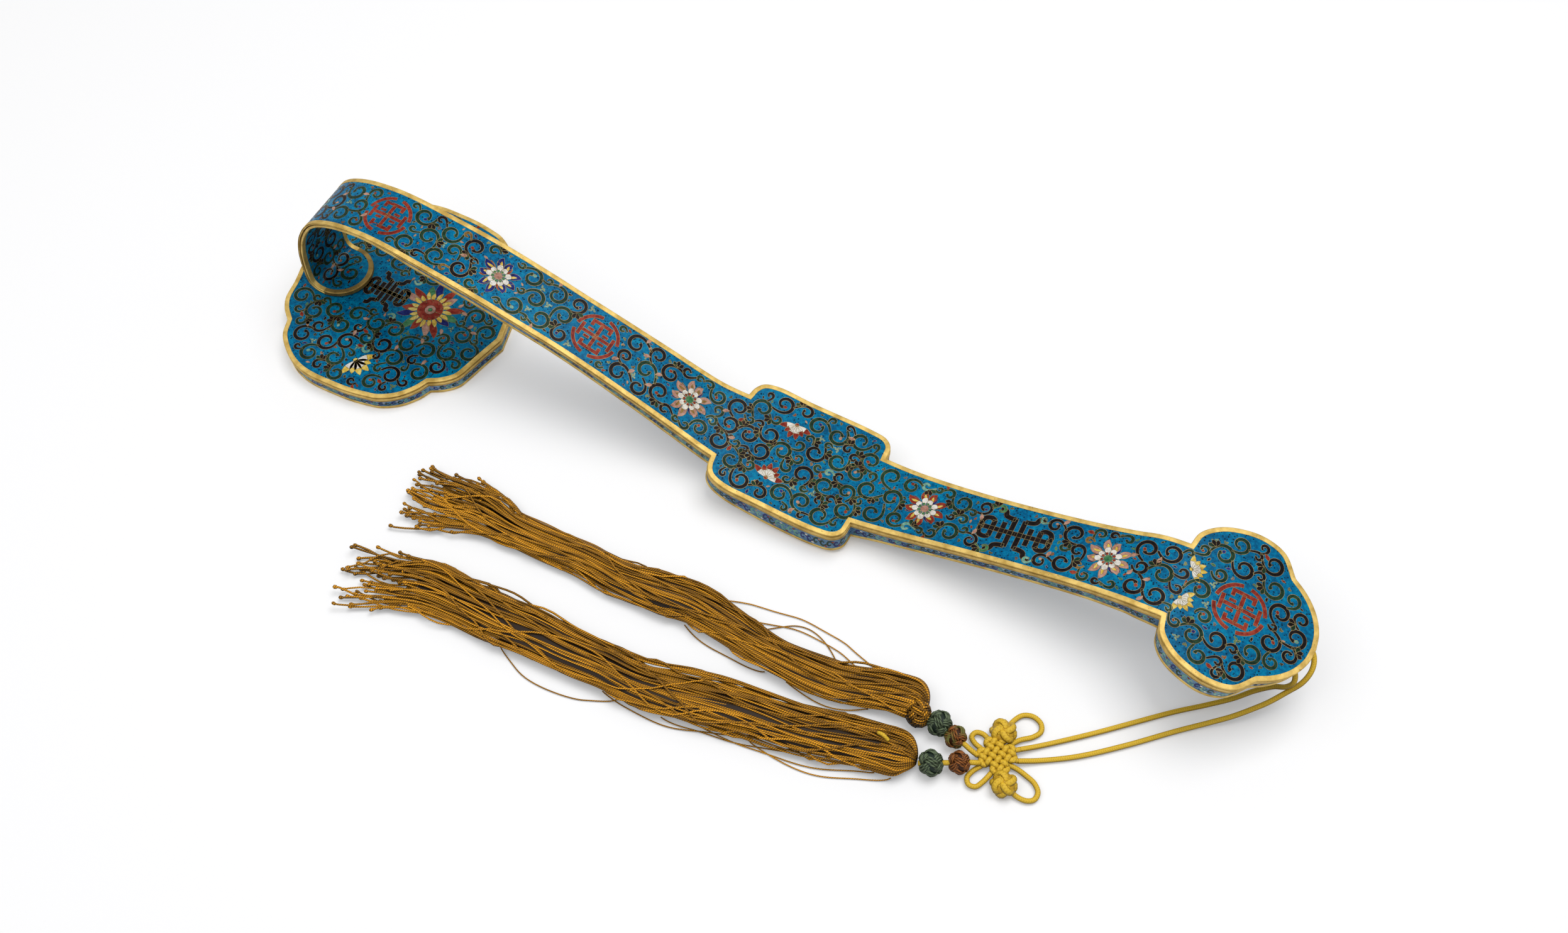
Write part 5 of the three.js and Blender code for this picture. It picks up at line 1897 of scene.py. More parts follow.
        inlay = Inlay("shaft_front", surface)
        vine = Vine.over(inlay, self.bar_front, 1, 3.0, spine.length - 3.4)
        flowers = (128.0, 212.0, 294.0, 372.0, 438.0)
        for i, u in enumerate(flowers):
            petals = ((Glaze.RED, Glaze.NAVY, Glaze.YELLOW), (Glaze.PINK, Glaze.YELLOW, Glaze.NAVY))[i % 2]
            Pen(inlay, (u, 0.0)).lotus(petals, Glaze.WHITE, Glaze.LEAF_GREEN, Glaze.PINK, 7.2)
            vine.keep_clear(u, 0.0, 6.9)
        for u in (172.0, 254.0, 334.0, 474.0):
            Pen(inlay, (u, 0.0)).roundel(Glaze.RED, 8.2)
            vine.keep_clear(u, 0.0, 8.3)
        vine.draw([(40.0, 0), *[(u, 0) for u in flowers]])
        inlay.build(self.palette)

    def head_back_ornament(self) -> None:
        """Lay the head's large flower, its fret and the two side flowers, and vines round them."""
        inlay = Inlay("head_back", lambda u, v, lift: self.place_on_head(u, v, BAR.enamel_recess - lift))
        vine = Vine.over(inlay, self.head_back, 2)
        for x in np.arange(-208.0, -192.0, 3.0):
            vine.keep_clear(float(x), 0.0, 13.2)
        Pen(inlay, (-180.5, 0.0)).long_fret(Glaze.BLACK, 20.0, 18.0)
        vine.keep_clear(-180.5, 0.0, 8.8)
        vine.keep_clear(-175.0, 0.0, 8.8)
        Pen(inlay, (-158.5, 0.0)).bloom(14.0)
        vine.keep_clear(-158.5, 0.0, 12.6)
        for side in (1, -1):
            Pen(inlay, (-171.5, 36.2 * side), 0.5 * side).side_lotus(Glaze.WHITE, Glaze.YELLOW, 8.6)
            vine.keep_clear(-168.6, 37.6 * side, 5.4)
        vine.draw([(-158.5, 0), (-176.5, 0)])
        inlay.build(self.palette)

    def head_front_ornament(self) -> None:
        """Lay the head's front, which is hidden face down, with three flowers and vines."""
        inlay = Inlay("head_front", lambda u, v, lift: self.place_on_head(u, -v, BAR.head_thickness + lift))
        vine = Vine.over(inlay, self.head_front, 3)
        x = -172.0
        middle, beside = (Glaze.RED, Glaze.NAVY, Glaze.YELLOW), (Glaze.PINK, Glaze.YELLOW, Glaze.PINK)
        Pen(inlay, (x, 0.0)).lotus(middle, Glaze.WHITE, Glaze.LEAF_GREEN, Glaze.PINK, 13.0)
        vine.keep_clear(x, 0.0, 12.6)
        for y in (31.0, -31.0):
            Pen(inlay, (x, y)).lotus(beside, Glaze.WHITE, Glaze.PINK, Glaze.LEAF_GREEN, 8.0)
            vine.keep_clear(x, y, 7.8)
        vine.draw([(x, 0), (x, 31.0), (x, -31.0)])
        inlay.build(self.palette)

    def band_ornament(self, trim: EdgeTrim, run: str) -> None:
        """Run a small wave of tendrils along one side band.

        Args:
            trim: The rims and bands it belongs to.
            run: Its run of the outline.
        """
        place, length, height = trim.band_place(run)
        if length < 6 or height <= 0:
            return

        def surface(s: Row, y: Row, lift: Row) -> Points:
            """Return points just proud of the band."""
            return place(s, 0.5 + y / height, -lift)

        inlay = Inlay(f"head_{run}_band" if trim.prefix == "head" else f"{run}_band", surface)
        rng = np.random.default_rng(SEED + len(run) * 7 + int(length))
        radius = min(1.5, height * 0.36)
        pitch = radius * 2 + 0.55
        count = int((length - 1.0) / pitch)
        greens = [Glaze.DARK_GREEN, Glaze.PALE, Glaze.DARK_GREEN, Glaze.NAVY, Glaze.PALE]
        buds = [Glaze.RED, Glaze.PINK, Glaze.PALE, Glaze.WHITE]
        for i in range(count):
            s = (length - count * pitch) / 2 + (i + 0.5) * pitch
            hand = 1 if i % 2 else -1
            pen = Pen(inlay, (s, 0.0), wired=False)
            pen.scroll(greens[rng.integers(len(greens))], radius, math.pi, hand, 0.4, 0.62)
            tint = buds[rng.integers(len(buds))]
            y = hand * (height / 2 - 0.55)
            Pen(inlay, (s + pitch / 2, y), wired=False).leaf(tint, (-0.6, 0), (0.7, 0), 0.6, 0.1)
        inlay.build(self.palette)


# Silk: cord, knot, beads and tassels

# The cord's strands from the tail's eye to the knot, as the solids have them
FAR_STRAND = [
    (211.5, -0.15, 27), (211.5, -2.4, 26.9), (213.2, -4.9, 26.6), (217.4, -5.6, 25.8), (219.3, -7.4, 24.4),
    (219.9, -9.2, 21.9), (218.2, -9.9, 18.2), (214.7, -9.6, 14.2), (209.3, -11.8, 9.2), (203.9, -15.9, 5.5),
    (196, -21.4, 2.5), (186.5, -28.6, 1.2), (175.1, -38.9, 1.15), (163.6, -49.4, 1.15), (152, -59.4, 1.15),
    (145.6, -64.8, 1.5), (141.2, -68.6, 2.6),
]
NEAR_STRAND = [
    (211.5, 0.15, 27), (211.5, 2.4, 26.9), (213.2, 4.8, 26.8), (217.3, 5.2, 26.6), (219.9, 4.6, 26.7),
    (222.3, 2.6, 26.5), (223.7, -0.3, 25.7), (224, -3.6, 23.9), (222.8, -7.1, 20.7), (219.3, -10.7, 15.8),
    (215.2, -15.2, 12.2), (210.4, -19.5, 9), (205.5, -23.3, 5.7), (199.4, -27.6, 2.8), (189.3, -35.9, 1.3),
    (175.1, -49.1, 1.15), (160.6, -61.3, 1.15), (148.9, -69, 1.3), (142.1, -73.2, 2.7),
]
FAR_TASSEL_CORD = [
    (128.4, -78, 3.4), (125.6, -77.7, 4.4), (122.8, -76.94, 4.9), (118.5, -75.7, 5), (111.2, -73.6, 5.2),
    (105.2, -71.88, 5.35),
]
NEAR_TASSEL_CORD = [
    (130.2, -80.4, 3.6), (129, -81.3, 4.5), (127.4, -82.17, 4.92), (123.6, -84.2, 5), (114.6, -89, 5.2),
    (110.5, -91.19, 5.3),
]
KNOT_CENTRE = (134.6, -74.8)
KNOT_TURN = 80
KNOT_MIDDLE_Z = 3.2
CLUSTER_CENTRES = [(133.2, -65.4), (141, -83.8)]
# The knot's four ears of cord, two large and two small
EARS = [
    [(134.2, -64, 2.2), (134.6, -59.4, 1.2), (137, -55.3, 1.2), (140.8, -54, 1.2), (144.3, -55.4, 1.2),
     (145.4, -58.2, 1.2), (143.6, -61.4, 1.2), (139.6, -65, 1.5), (136.4, -70, 2.4)],
    [(138.4, -76, 2.4), (142.8, -75.6, 1.4), (146.8, -76.4, 1.2), (150.7, -77.8, 1.2), (153.1, -80.4, 1.2),
     (152.9, -83.4, 1.2), (150.6, -85.1, 1.2), (146.4, -85.2, 1.4), (142.4, -83.6, 2.4)],
    [(132.6, -73, 2.4), (130.2, -70.6, 1.9), (127, -68.8, 1.6), (124.2, -69.4, 1.6), (123.5, -71.6, 1.6),
     (125.4, -73.4, 1.8), (128, -74.4, 2.1), (132, -76, 2.4)],
    [(134, -77.2, 2.4), (130.9, -80.8, 2.1), (128.9, -83.9, 1.8), (128.2, -86.9, 1.6), (129.7, -88.9, 1.6),
     (132.2, -88.6, 1.6), (133.8, -86, 1.8), (135.2, -82, 2.4), (136, -78.4, 3)],
]
# Each tassel's middle line with its width, from the fold to the tips
FAR_TASSEL = [
    (104.5, -69.4, 15.5), (98.6, -69.2, 17), (88, -71, 17), (69, -75.6, 17), (44, -75.8, 15.6),
    (24, -72.6, 17), (8, -70.6, 18.6), (-8, -72.2, 18.6), (-24, -73.4, 16.6), (-40, -72.6, 15),
    (-57, -73.8, 14.4), (-72, -74.2, 15.6), (-88, -73, 21), (-110.5, -75.6, 25),
]
NEAR_TASSEL = [
    (109.4, -90.4, 16.5), (104, -90.6, 19.6), (91, -92.8, 20.4), (66, -98.4, 21), (50, -100.6, 20.6),
    (34, -103.4, 21.6), (19, -106.6, 21.4), (4, -108.8, 19.8), (-11, -108.4, 18.8), (-26, -109, 19),
    (-41, -108.6, 20.8), (-56, -109.4, 22.6), (-72, -109.6, 22), (-88, -110.2, 23.6), (-102, -114.4, 22),
    (-112.5, -117.6, 22.6),
]
# Loose threads: the shares of the length where each leaves and returns, its side, and how far it bows
FAR_STRAYS = [
    (0.08, 0.42, -1, 13.0), (0.12, 0.36, -1, 8.5), (0.17, 0.33, -1, 10.6), (0.4, 0.62, -1, 2.6),
    (0.28, 0.46, 1, 3.2), (0.62, 0.93, -1, 3.4), (0.1, 0.24, 1, 1.6),
]
NEAR_STRAYS = [
    (0.03, 0.27, 1, 5.2), (0.06, 0.36, 1, 3.0), (0.2, 0.42, 1, 2.2), (0.49, 0.72, 1, 8.5),
    (0.3, 0.52, 1, 2.4), (0.14, 0.34, -1, 2.8), (0.4, 0.7, -1, 0.8),
]
# How each strand of the cord goes on under the woven knot
ENTRIES = [
    [(141.2, -68.6, 2.6), (139.4, -70.2, 3), (137, -72.2, 3.2)],
    [(142.1, -73.2, 2.7), (140.4, -73.6, 3), (137.6, -74.4, 3.2)],
]
BEAD_CENTRES = {
    Side.FAR: ((118.5, -75.7, 5), (111.2, -73.6, 5.2)),
    Side.NEAR: ((123.6, -84.2, 5), (114.6, -89, 5.2)),
}
BROWN_BEAD_DIAMETER = 8.8
GREEN_BEAD_DIAMETER = 10.0
CORD_DIAMETER = 2.0
CORD_STEP = 0.45
# The tangle of thread at the far tassel's head, and the cord's end tucked in at the near one
TANGLE_CENTRE = (102.6, -73.4, 5.2)
TANGLE_AXIS = (1, 0.4, 0.5)
TANGLE_RADIUS = 4.9
TANGLE_THREAD_RADIUS = 0.5
TUCKED_END = [(98, -90, 10.2), (95.6, -89.4, 11.4), (93.4, -89, 10.4)]
TUCKED_END_RADIUS = 0.75


@dataclass
class BraidedCord:
    """A stretch of the round yellow cord, braided over a core."""

    name: str
    route: Sequence[Triple]
    diameter: float = CORD_DIAMETER
    sides: int = 12

    def path(self) -> Points:
        """Return the centre line."""
        return even_curve(self.route, CORD_STEP)

    def build(self, palette: Palette, node: str) -> Piece:
        """Make the cord in place of its solid.

        Args:
            palette: The finishes.
            node: The solid it stands for.

        Returns:
            The piece.
        """
        mesh = TubeMesh()
        mesh.add(self.path(), self.diameter / 2, self.sides)
        piece = mesh.build(self.name, palette.yellow)
        return stands_for(piece, Slot.YELLOW_SILK, node)


@dataclass
class WovenKnot:
    """The flat woven knot: a lattice of cord laid over and under itself, two buttons and four ears."""

    pitch: float = 2.5
    wave: float = 1.0
    cord_radius: float = 1.14
    button_radius: float = 3.7
    button_cord_radius: float = 1.35
    button_height: float = 3.3
    button_core_radius: float = 4.3
    button_core_height: float = 3.2
    core_sides: Triple = (9.6, 9.6, 2.4)
    core_height: float = 2.2
    core_bevel: float = 0.9
    reach: float = 1.85

    def lattice(self, mesh: TubeMesh) -> None:
        """Weave the middle: two long loops each way, over and under one another."""
        turn = math.radians(KNOT_TURN)
        axes = np.array([ray(turn), ray(turn + math.pi / 2)])
        bend = np.linspace(-math.pi / 2, math.pi / 2, 11)[1:-1]
        for way in (1, -1):
            for lane in (-1.5, 0.5):
                rows = []
                for sign, line in ((1, lane), (-1, lane + 1)):
                    run = sign * np.linspace(-self.reach, self.reach, 30)
                    height = np.cos(math.pi * (run + line - 1))
                    rows.append(np.stack([run, np.full(30, line), height], axis=1))
                    over = sign * (self.reach + np.cos(bend) / 2)
                    across = lane + 0.5 + sign * np.sin(bend) / 2
                    rows.append(np.stack([over, across, height[-1] * np.sin(bend)], axis=1))
                course = np.vstack(rows)
                flat = course[:, :2] if way == 1 else course[:, 1::-1]
                flat = flat * self.pitch @ axes + KNOT_CENTRE
                height = KNOT_MIDDLE_Z + way * course[:, 2] * self.wave
                mesh.add(np.column_stack([flat, height]), self.cord_radius, 10, closed=True)

    def build(self, palette: Palette) -> Piece:
        """Make the knot in place of its solid."""
        mesh = TubeMesh()
        self.lattice(mesh)
        for route in [*EARS, *ENTRIES]:
            mesh.add(even_curve(route, CORD_STEP), CORD_DIAMETER / 2, 12)
        upright = Vector((0, 0, 1))
        for x, y in CLUSTER_CENTRES:
            courses = interlaced_ball(
                (x, y, self.button_height), upright, self.button_radius, 0.6,
                leads=3, bights=4, lift=0.8, spread=1.2,
            )
            for path in courses:
                mesh.add(path, self.button_cord_radius, 8, closed=True)
            core = ball(
                f"button_core_at_{int(x)}", (x, y, self.button_core_height), upright, self.button_core_radius,
                0.66, palette.yellow,
            )
            stands_for(core, Slot.YELLOW_SILK)
        piece = mesh.build("woven_knot", palette.yellow)
        self._core(palette, piece)
        return stands_for(piece, Slot.YELLOW_SILK, "knot")

    def _core(self, palette: Palette, knot: Piece) -> None:
        """Fill the knot's hidden middle with a darker silk body, painted shade, so that no light shows
        through it.
        """
        bpy.ops.object.select_all(action="DESELECT")
        at = (*KNOT_CENTRE, self.core_height)
        bpy.ops.mesh.primitive_cube_add(size=1, location=[c * METRES_PER_MM for c in at])
        core = bpy.context.object
        core.scale = [c * METRES_PER_MM for c in self.core_sides]
        core.rotation_euler = (0, 0, math.radians(KNOT_TURN))
        settle(core, "knot_core", palette.yellow_shade)
        softened = core.modifiers.new("softened", "BEVEL")
        softened.width = self.core_bevel * METRES_PER_MM
        softened.segments = 3
        only(core)
        bpy.ops.object.modifier_apply(modifier="softened")
        stands_for(core, Slot.YELLOW_SILK)


def ball(
    name: str, centre: Sequence[float], axis: Vector, radius: float, flatness: float, material: Finish
) -> Piece:
    """Make a plain flattened ball, in millimetres.

    Args:
        name: Its name.
        centre: Its middle.
        axis: The direction that it is flattened along.
        radius: Its radius across the axis.
        flatness: Its length along the axis as a share of its width.
        material: Its finish.

    Returns:
        The settled object.
    """
    bpy.ops.object.select_all(action="DESELECT")
    bpy.ops.mesh.primitive_uv_sphere_add(segments=24, ring_count=14, radius=radius * METRES_PER_MM)
    core = bpy.context.object
    core.scale = (1, 1, flatness)
    core.rotation_mode = "QUATERNION"
    core.rotation_quaternion = axis.to_track_quat("Z", "Y")
    core.location = [c * METRES_PER_MM for c in centre]
    settle(core, name, material)
    crease_edges(core, 60)
    return core


def interlaced_ball(
    centre: Sequence[float], axis: Vector, radius: float, flatness: float, leads: int, bights: int,
    lift: float, spread: float, strands: int = 1, strand_gap: float = 0.0,
) -> list[Points]:
    """Return the courses of a cord wound into a Turk's head round a ball.

    Args:
        centre: The ball's middle.
        axis: The direction of its bore.
        radius: Its radius to the middle of the cord.
        flatness: Its length along the axis as a share of its width.
        leads: How many times the cord goes round.
        bights: How many loops reach each end.
        lift: How far the cord rises over and dips under at a crossing.
        spread: How near the loops come to the poles, in radians from the middle.
        strands: Parallel cords laid side by side.
        strand_gap: Their spacing.

    Returns:
        One closed path for each parallel cord.
    """
    basis = np.array(axis.normalized().to_track_quat("Z", "Y").to_matrix())
    t = np.linspace(0, 2 * math.pi, 34 * leads, endpoint=False)
    longitude = leads * t
    latitude = spread * np.cos(bights * t)
    out = np.stack([
        np.cos(latitude) * np.cos(longitude), np.cos(latitude) * np.sin(longitude), np.sin(latitude),
    ], axis=1)
    along = unit(np.roll(out, -1, axis=0) - np.roll(out, 1, axis=0))
    beside = unit(np.cross(out, along))
    rise = 1 + lift / radius * np.sin((leads - 1) * bights * t)[:, None]
    courses = []
    for i in range(strands):
        shift = (i - (strands - 1) / 2) * strand_gap
        course = unit(out + beside * shift / radius) * rise * radius * [1, 1, flatness]
        courses.append(course @ basis.T + np.asarray(centre))
    return courses


@dataclass
class WovenBead:
    """A round bead of floss silk, tripled strands wound over and under round a hollow core."""

    name: str
    node: str
    centre: Triple
    axis: Vector
    diameter: float
    slot: Slot
    finish: Finish
    shade: Finish
    strand_share: float = 0.044

    def build(self) -> Piece:
        """Make the bead in place of its solid, riding on its own body."""
        strand = self.diameter * self.strand_share
        radius = self.diameter / 2 - strand * 2
        mesh = TubeMesh()
        courses = interlaced_ball(
            self.centre, self.axis, radius, 0.92, leads=4, bights=5, lift=strand * 1.5, spread=1.1,
            strands=3, strand_gap=strand * 1.95,
        )
        for path in courses:
            mesh.add(path, strand, 8, closed=True)
        piece = mesh.build(self.name, self.finish)
        # A darker ball inside, painted shade that shows between the strands
        core = ball(f"{self.name}_core", self.centre, self.axis, self.diameter * 0.42, 0.86, self.shade)
        stands_for(core, self.slot, body=self.node)
        return stands_for(piece, self.slot, self.node, body=self.node)


@dataclass
class Tassel:
    """A long tassel lying on the table: twisted threads folded over at the head, knotted at the tips.

    The threads gather into locks with dark valleys between them, some cross over the rest, and a
    few thin loose ones bow out beside the bundle.
    """

    name: str
    node: str
    route: Sequence[Triple]
    seed: int
    strays: Sequence[tuple[float, float, int, float]]
    threads: int = 46
    inner_threads: int = 40
    crossing: int = 18
    thread_diameter: float = 0.9
    tip_knot_share: float = 1.8
    tip_end_share: float = 0.6
    stray_radius: float = 0.26
    head_height: float = 11.0
    fringe_height: float = 6.0
    rounding: float = 0.034
    fray_from: float = 0.82
    lowest: float = 0.6

    def __post_init__(self) -> None:
        """Lay the bundle's middle line."""
        self.line = even_curve([(x, y) for x, y, _ in self.route], 1.0)
        along = travelled(self.line)
        stops = [float(along[np.argmin(np.hypot(*(self.line - row[:2]).T))]) for row in self.route]
        self.total = float(along[-1])
        self.widths = smooth_value([(s, row[2]) for s, row in zip(stops, self.route)])
        self.rng = np.random.default_rng(self.seed)
        self.locks = self.rng.uniform(0, 2 * math.pi, 3)

    def spread(self, share: Row) -> tuple[Points, Points, Row, Row]:
        """Return middle, sideways direction, half width and height at shares of the length."""
        along = travelled(self.line)
        at = np.clip(share, 0, 1) * self.total
        middle = looked_up(at, along, self.line)
        ahead = unit(looked_up(at, along, unit(np.gradient(self.line, axis=0))))
        middle = middle + ahead * (np.maximum(share - 1, 0)[..., None] * self.total)
        side = np.stack([-ahead[..., 1], ahead[..., 0]], axis=-1)
        full = np.sqrt(np.clip(1 - (1 - np.clip(share / self.rounding, 0, 1)) ** 2, 0, 1))
        half = self.widths(at) / 2 * full
        height = self.head_height + (self.fringe_height - self.head_height) * np.sqrt(np.clip(share, 0, 1))
        return middle, side, half, height * (0.45 + 0.55 * full)

    def lock(self, angle: Row, share: Row) -> Row:
        """Return how far out the bundle's surface lies, lower in the valleys between locks."""
        wave = np.sin(5 * angle + self.locks[0] + 7 * share) + np.sin(8 * angle + self.locks[1] - 11 * share)
        return 0.92 + 0.09 * wave * np.clip(share * 8, 0, 1)

    def thread(self, angle: float, depth: float, end: float, wander: float) -> Points:
        """Return one thread's path.

        Args:
            angle: Where it lies round the bundle.
            depth: Its distance from the middle, 1 at the surface.
            end: The share of the length at which it ends.
            wander: How far it strays round the bundle.

        Returns:
            Its points.
        """
        rng = self.rng
        knotted = end - np.array([0.008, 0.0055, 0.002, 0])
        share = np.concatenate([
            self.rounding * np.linspace(0.02, 1, 10) ** 1.6, np.linspace(0.045, end - 0.012, 54), knotted,
        ])
        middle, side, half, height = self.spread(share)
        phase = rng.uniform(0, 2 * math.pi, 3)
        drift = sum(np.sin(share * (4 + 5 * i) + phase[i]) / (1 + i) for i in range(3))
        turned = angle + wander * drift * np.clip(share * 6, 0, 1)
        out = depth * self.lock(turned, share)
        fray = np.clip((share - self.fray_from) / (1.03 - self.fray_from), 0, 1) ** 1.7
        across = np.cos(turned) * (half - self.lowest) * out * (1 + 0.25 * fray)
        across = across + rng.normal(0, 3.6) * fray
        across = across + fray * rng.normal(0, 1.5) * np.sin(share * 45 + phase[1])
        lift = self.lowest + (height / 2 - self.lowest) * (1 + np.sin(turned) * out)
        lift = lift * (1 - 0.7 * fray) + self.lowest + rng.uniform(0, 3.5) * fray**3
        xy = middle + side * across[:, None]
        return np.column_stack([xy, np.maximum(lift, self.lowest)])

    def build(self, palette: Palette) -> Piece:
        """Make the tassel in place of its solid."""
        mesh = TubeMesh()
        for count, depths, wander in (
            (self.inner_threads, (0.66, 0.78), 0.25),
            (self.threads, (0.86, 1.02), 0.25),
            (self.crossing, (1.0, 1.08), 1.2),
        ):
            for i in range(count):
                angle = 2 * math.pi * (i + self.rng.uniform(-0.35, 0.35)) / count
                path = self.thread(angle, self.rng.uniform(*depths), self.rng.uniform(0.9, 1.045), wander)
                radius = np.full(len(path), self.thread_diameter / 2 * self.rng.uniform(0.8, 1.06))
                radius[-3:-1] *= self.tip_knot_share
                radius[-1] *= self.tip_end_share
                mesh.add(path, radius, 6)
        for start, end, hand, bow in self.strays:
            share = np.linspace(start, end, 44)
            middle, side, half, _ = self.spread(share)
            rise = np.sin(math.pi * (share - start) / (end - start)) ** 0.8 * bow + 0.3 * np.sin(share * 50)
            xy = middle + side * (hand * (half * 0.84 + rise))[:, None]
            mesh.add(np.column_stack([xy, 0.4 + 1.5 * np.exp(-np.abs(rise))]), self.stray_radius, 5)
        piece = mesh.build(self.name, palette.ochre)
        self._core(palette)
        return stands_for(piece, Slot.OCHRE_SILK, self.node)

    def _core(self, palette: Palette) -> None:
        """Fill the bundle's middle with a dark body, painted shade that shows between the threads."""
        share = np.concatenate([self.rounding * np.linspace(0.08, 1, 8), np.linspace(0.08, 0.9, 40)])
        middle, side, half, height = self.spread(share)
        thin = (0.76 - 0.45 * np.clip((share - 0.7) / 0.2, 0, 1))[:, None]
        turn = np.linspace(0, 2 * math.pi, 16, endpoint=False)
        across = np.cos(turn)[None] * half[:, None] * thin
        lift = height[:, None] / 2 * (1 + np.sin(turn)[None] * thin)
        xy = middle[:, None] + side[:, None] * across[..., None]
        core = swept(f"{self.name}_core", np.concatenate([xy, lift[..., None]], axis=-1), palette.dark_ochre)
        stands_for(core, Slot.OCHRE_SILK)


class SilkGroup:
    """The cord from the tail's eye, its knot, and two tassels with their beads."""

    def __init__(self, palette: Palette) -> None:
        """Keep the finishes."""
        self.palette = palette

    def build(self) -> None:
        knot = WovenKnot().build(self.palette)
        carried: dict[Side, list[Piece]] = {Side.FAR: [knot], Side.NEAR: []}
        for side, route in ((Side.FAR, FAR_TASSEL_CORD), (Side.NEAR, NEAR_TASSEL_CORD)):
            label = side.name.lower()
            cord = BraidedCord(f"{label}_tassel_cord", route)
            carried[side] += [cord.build(self.palette, f"tassel_cord_{label}"), *self.beads(side)]
        Tassel("far_tassel", "tassel_far", FAR_TASSEL, 5, FAR_STRAYS).build(self.palette)
        Tassel("near_tassel", "tassel_near", NEAR_TASSEL, 8, NEAR_STRAYS).build(self.palette)
        self.binding()
        for side, route in ((Side.FAR, FAR_STRAND), (Side.NEAR, NEAR_STRAND)):
            label = side.name.lower()
            cord = BraidedCord(f"{label}_strand", route)
            path = cord.path() * METRES_PER_MM
            piece = cord.build(self.palette, f"cord_{label}_strand")
            float(travelled(path)[-1])
            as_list(carried[side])

    def binding(self) -> None:
        """Wind the tangle of thread at the far tassel's head, and tuck a cord's end in at the near one."""
        mesh = TubeMesh()
        courses = interlaced_ball(
            TANGLE_CENTRE, Vector(TANGLE_AXIS), TANGLE_RADIUS, 0.85, leads=5, bights=7, lift=0.35, spread=1.2,
            strands=3, strand_gap=TANGLE_THREAD_RADIUS * 2,
        )
        for path in courses:
            mesh.add(path, TANGLE_THREAD_RADIUS, 6, closed=True)
        stands_for(mesh.build("far_tassel_binding", self.palette.ochre), Slot.OCHRE_SILK)
        mesh = TubeMesh()
        mesh.add(even_curve(TUCKED_END, CORD_STEP), TUCKED_END_RADIUS, 10)
        stands_for(mesh.build("near_tassel_tucked_end", self.palette.yellow), Slot.YELLOW_SILK)

    def beads(self, side: Side) -> list[Piece]:
        """Make one side's brown and green beads."""
        label = side.name.lower()
        brown_at, green_at = BEAD_CENTRES[side]
        axis = Vector(green_at) - Vector(brown_at)
        made = self.palette
        brown = made.olive if side is Side.FAR else made.brown
        return [
            WovenBead(f"{label}_{tint}_bead", f"bead_{tint}_{label}", at, axis, *rest).build()
            for tint, at, *rest in (
                ("brown", brown_at, BROWN_BEAD_DIAMETER, Slot.BROWN_SILK, brown, made.brown_shade),
                ("green", green_at, GREEN_BEAD_DIAMETER, Slot.GREEN_SILK, made.green, made.green_shade),
            )
        ]


# Studio


def seen_directly(tree: bpy.types.NodeTree) -> bpy.types.Node:
    """Add a switch that is 1 for a camera ray and for what gloss and glass show."""
    rays = add_node(tree, "LightPath").outputs
    either = {"operation": "MAXIMUM"}
    seen = add_node(tree, "Math", either, {0: rays["Is Camera Ray"], 1: rays["Is Glossy Ray"]})
    return add_node(tree, "Math", either, {0: seen, 1: rays["Is Transmission Ray"]})


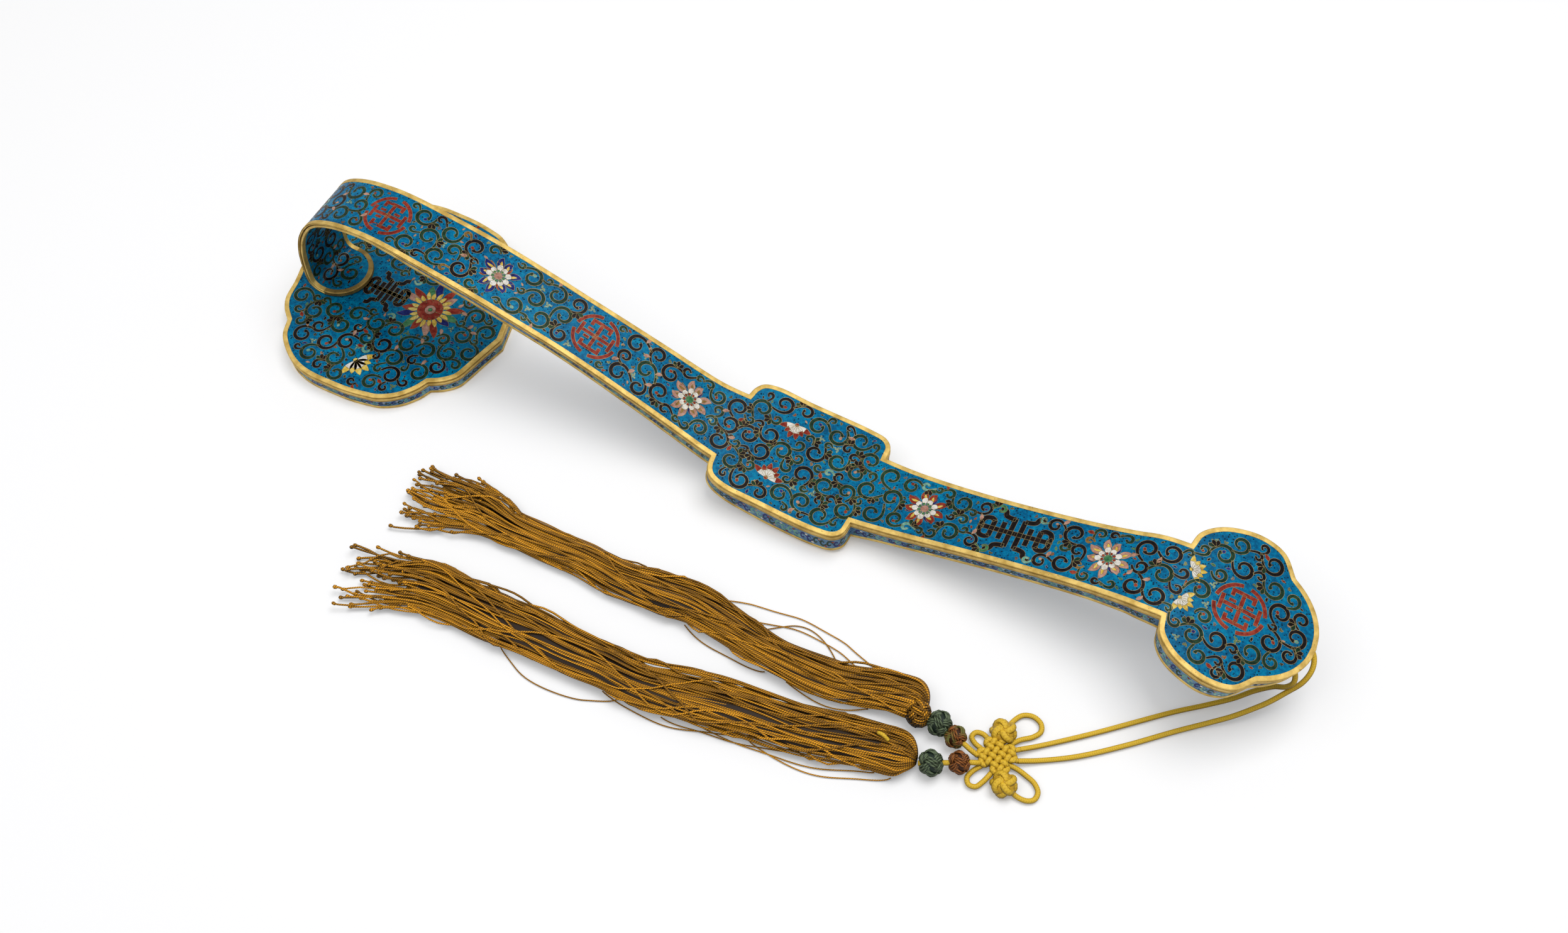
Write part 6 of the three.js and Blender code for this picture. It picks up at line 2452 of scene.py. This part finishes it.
@dataclass(frozen=True)
class Studio:
    """A white table under plain soft light, seen as in the photograph."""

    camera_at: Triple = (0.16148, -0.29914, 0.54167)
    forward: Triple = (-0.2384, 0.4723, -0.8486)
    right: Triple = (0.8927, 0.4507, 0.0)
    lens_mm: float = 36.09
    sensor_mm: float = 36.0
    table_size: float = 6
    table_height: float = -0.0002
    table_lift: float = 0.22
    room_light: float = 0.3

    def place_camera(self) -> None:
        """Set the camera at the photograph's viewing angle."""
        data = bpy.data.cameras.new("camera")
        data.lens = self.lens_mm
        data.sensor_width = self.sensor_mm
        data.sensor_fit = "HORIZONTAL"
        data.clip_start = 0.01
        camera = bpy.data.objects.new("camera", data)
        forward, right = Vector(self.forward).normalized(), Vector(self.right).normalized()
        up = right.cross(forward)
        turned = Matrix((right, up, -forward)).transposed().to_4x4()
        camera.matrix_world = Matrix.Translation(self.camera_at) @ turned
        bpy.context.scene.collection.objects.link(camera)
        bpy.context.scene.camera = camera

    def lay_floor(self) -> None:
        """Lay a white table that keeps the object's shadow."""
        bpy.ops.object.select_all(action="DESELECT")
        bpy.ops.mesh.primitive_plane_add(size=self.table_size, location=(0, 0, self.table_height))
        material, tree, shader = new_material("matt_white_table")
        glow = add_node(tree, "Math", {"operation": "MULTIPLY"}, {0: seen_directly(tree), 1: self.table_lift})
        feed(shader, {
            "Base Color": colour("f4f4f5"),
            "Roughness": 0.9,
            "Specular IOR Level": 0.1,
            "Emission Color": colour("ffffff"),
            "Emission Strength": glow,
        })
        settle(bpy.context.object, "table_top", material)

    def light(self) -> None:
        """Hang a soft key light over the far right, a fill over the near left, in a pale room."""
        world = bpy.data.worlds.new("pale_room")
        world.use_nodes = True
        tree = world.node_tree
        level = add_node(tree, "MapRange", inputs={
            "Value": seen_directly(tree), "To Min": self.room_light, "To Max": 1,
        })
        back = next(node for node in tree.nodes if node.type == "BACKGROUND")
        feed(back, {"Color": colour("ffffff"), "Strength": level})
        bpy.context.scene.world = world
        self._softbox("key_light", at=(0.25, 0.3, 1.45), size=0.9, power=11.0)
        self._softbox("fill_light", at=(-0.45, -0.45, 1.3), size=1.0, power=4.5)

    def _softbox(self, name: str, at: Triple, size: float, power: float) -> None:
        """Hang one square lamp that points at the scepter's middle.

        Args:
            name: Its name.
            at: Where it hangs, in metres.
            size: Its side in metres.
            power: Its power in watts.
        """
        data = bpy.data.lights.new(name, "AREA")
        data.shape = "SQUARE"
        data.size = size
        data.energy = power
        lamp = bpy.data.objects.new(name, data)
        lamp.location = at
        lamp.rotation_euler = (-Vector(at)).to_track_quat("-Z", "Y").to_euler()
        bpy.context.scene.collection.objects.link(lamp)


# Assembly


def main() -> None:
    """Build the camera, the silk, the scepter and the studio, in that order."""
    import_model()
    studio = Studio()
    studio.place_camera()
    palette = Palette()
    SilkGroup(palette).build()
    Scepter(palette).build()
    studio.lay_floor()
    studio.light()
    bpy.context.scene.view_settings.view_transform = "Standard"


if __name__ == "__main__":
    main()
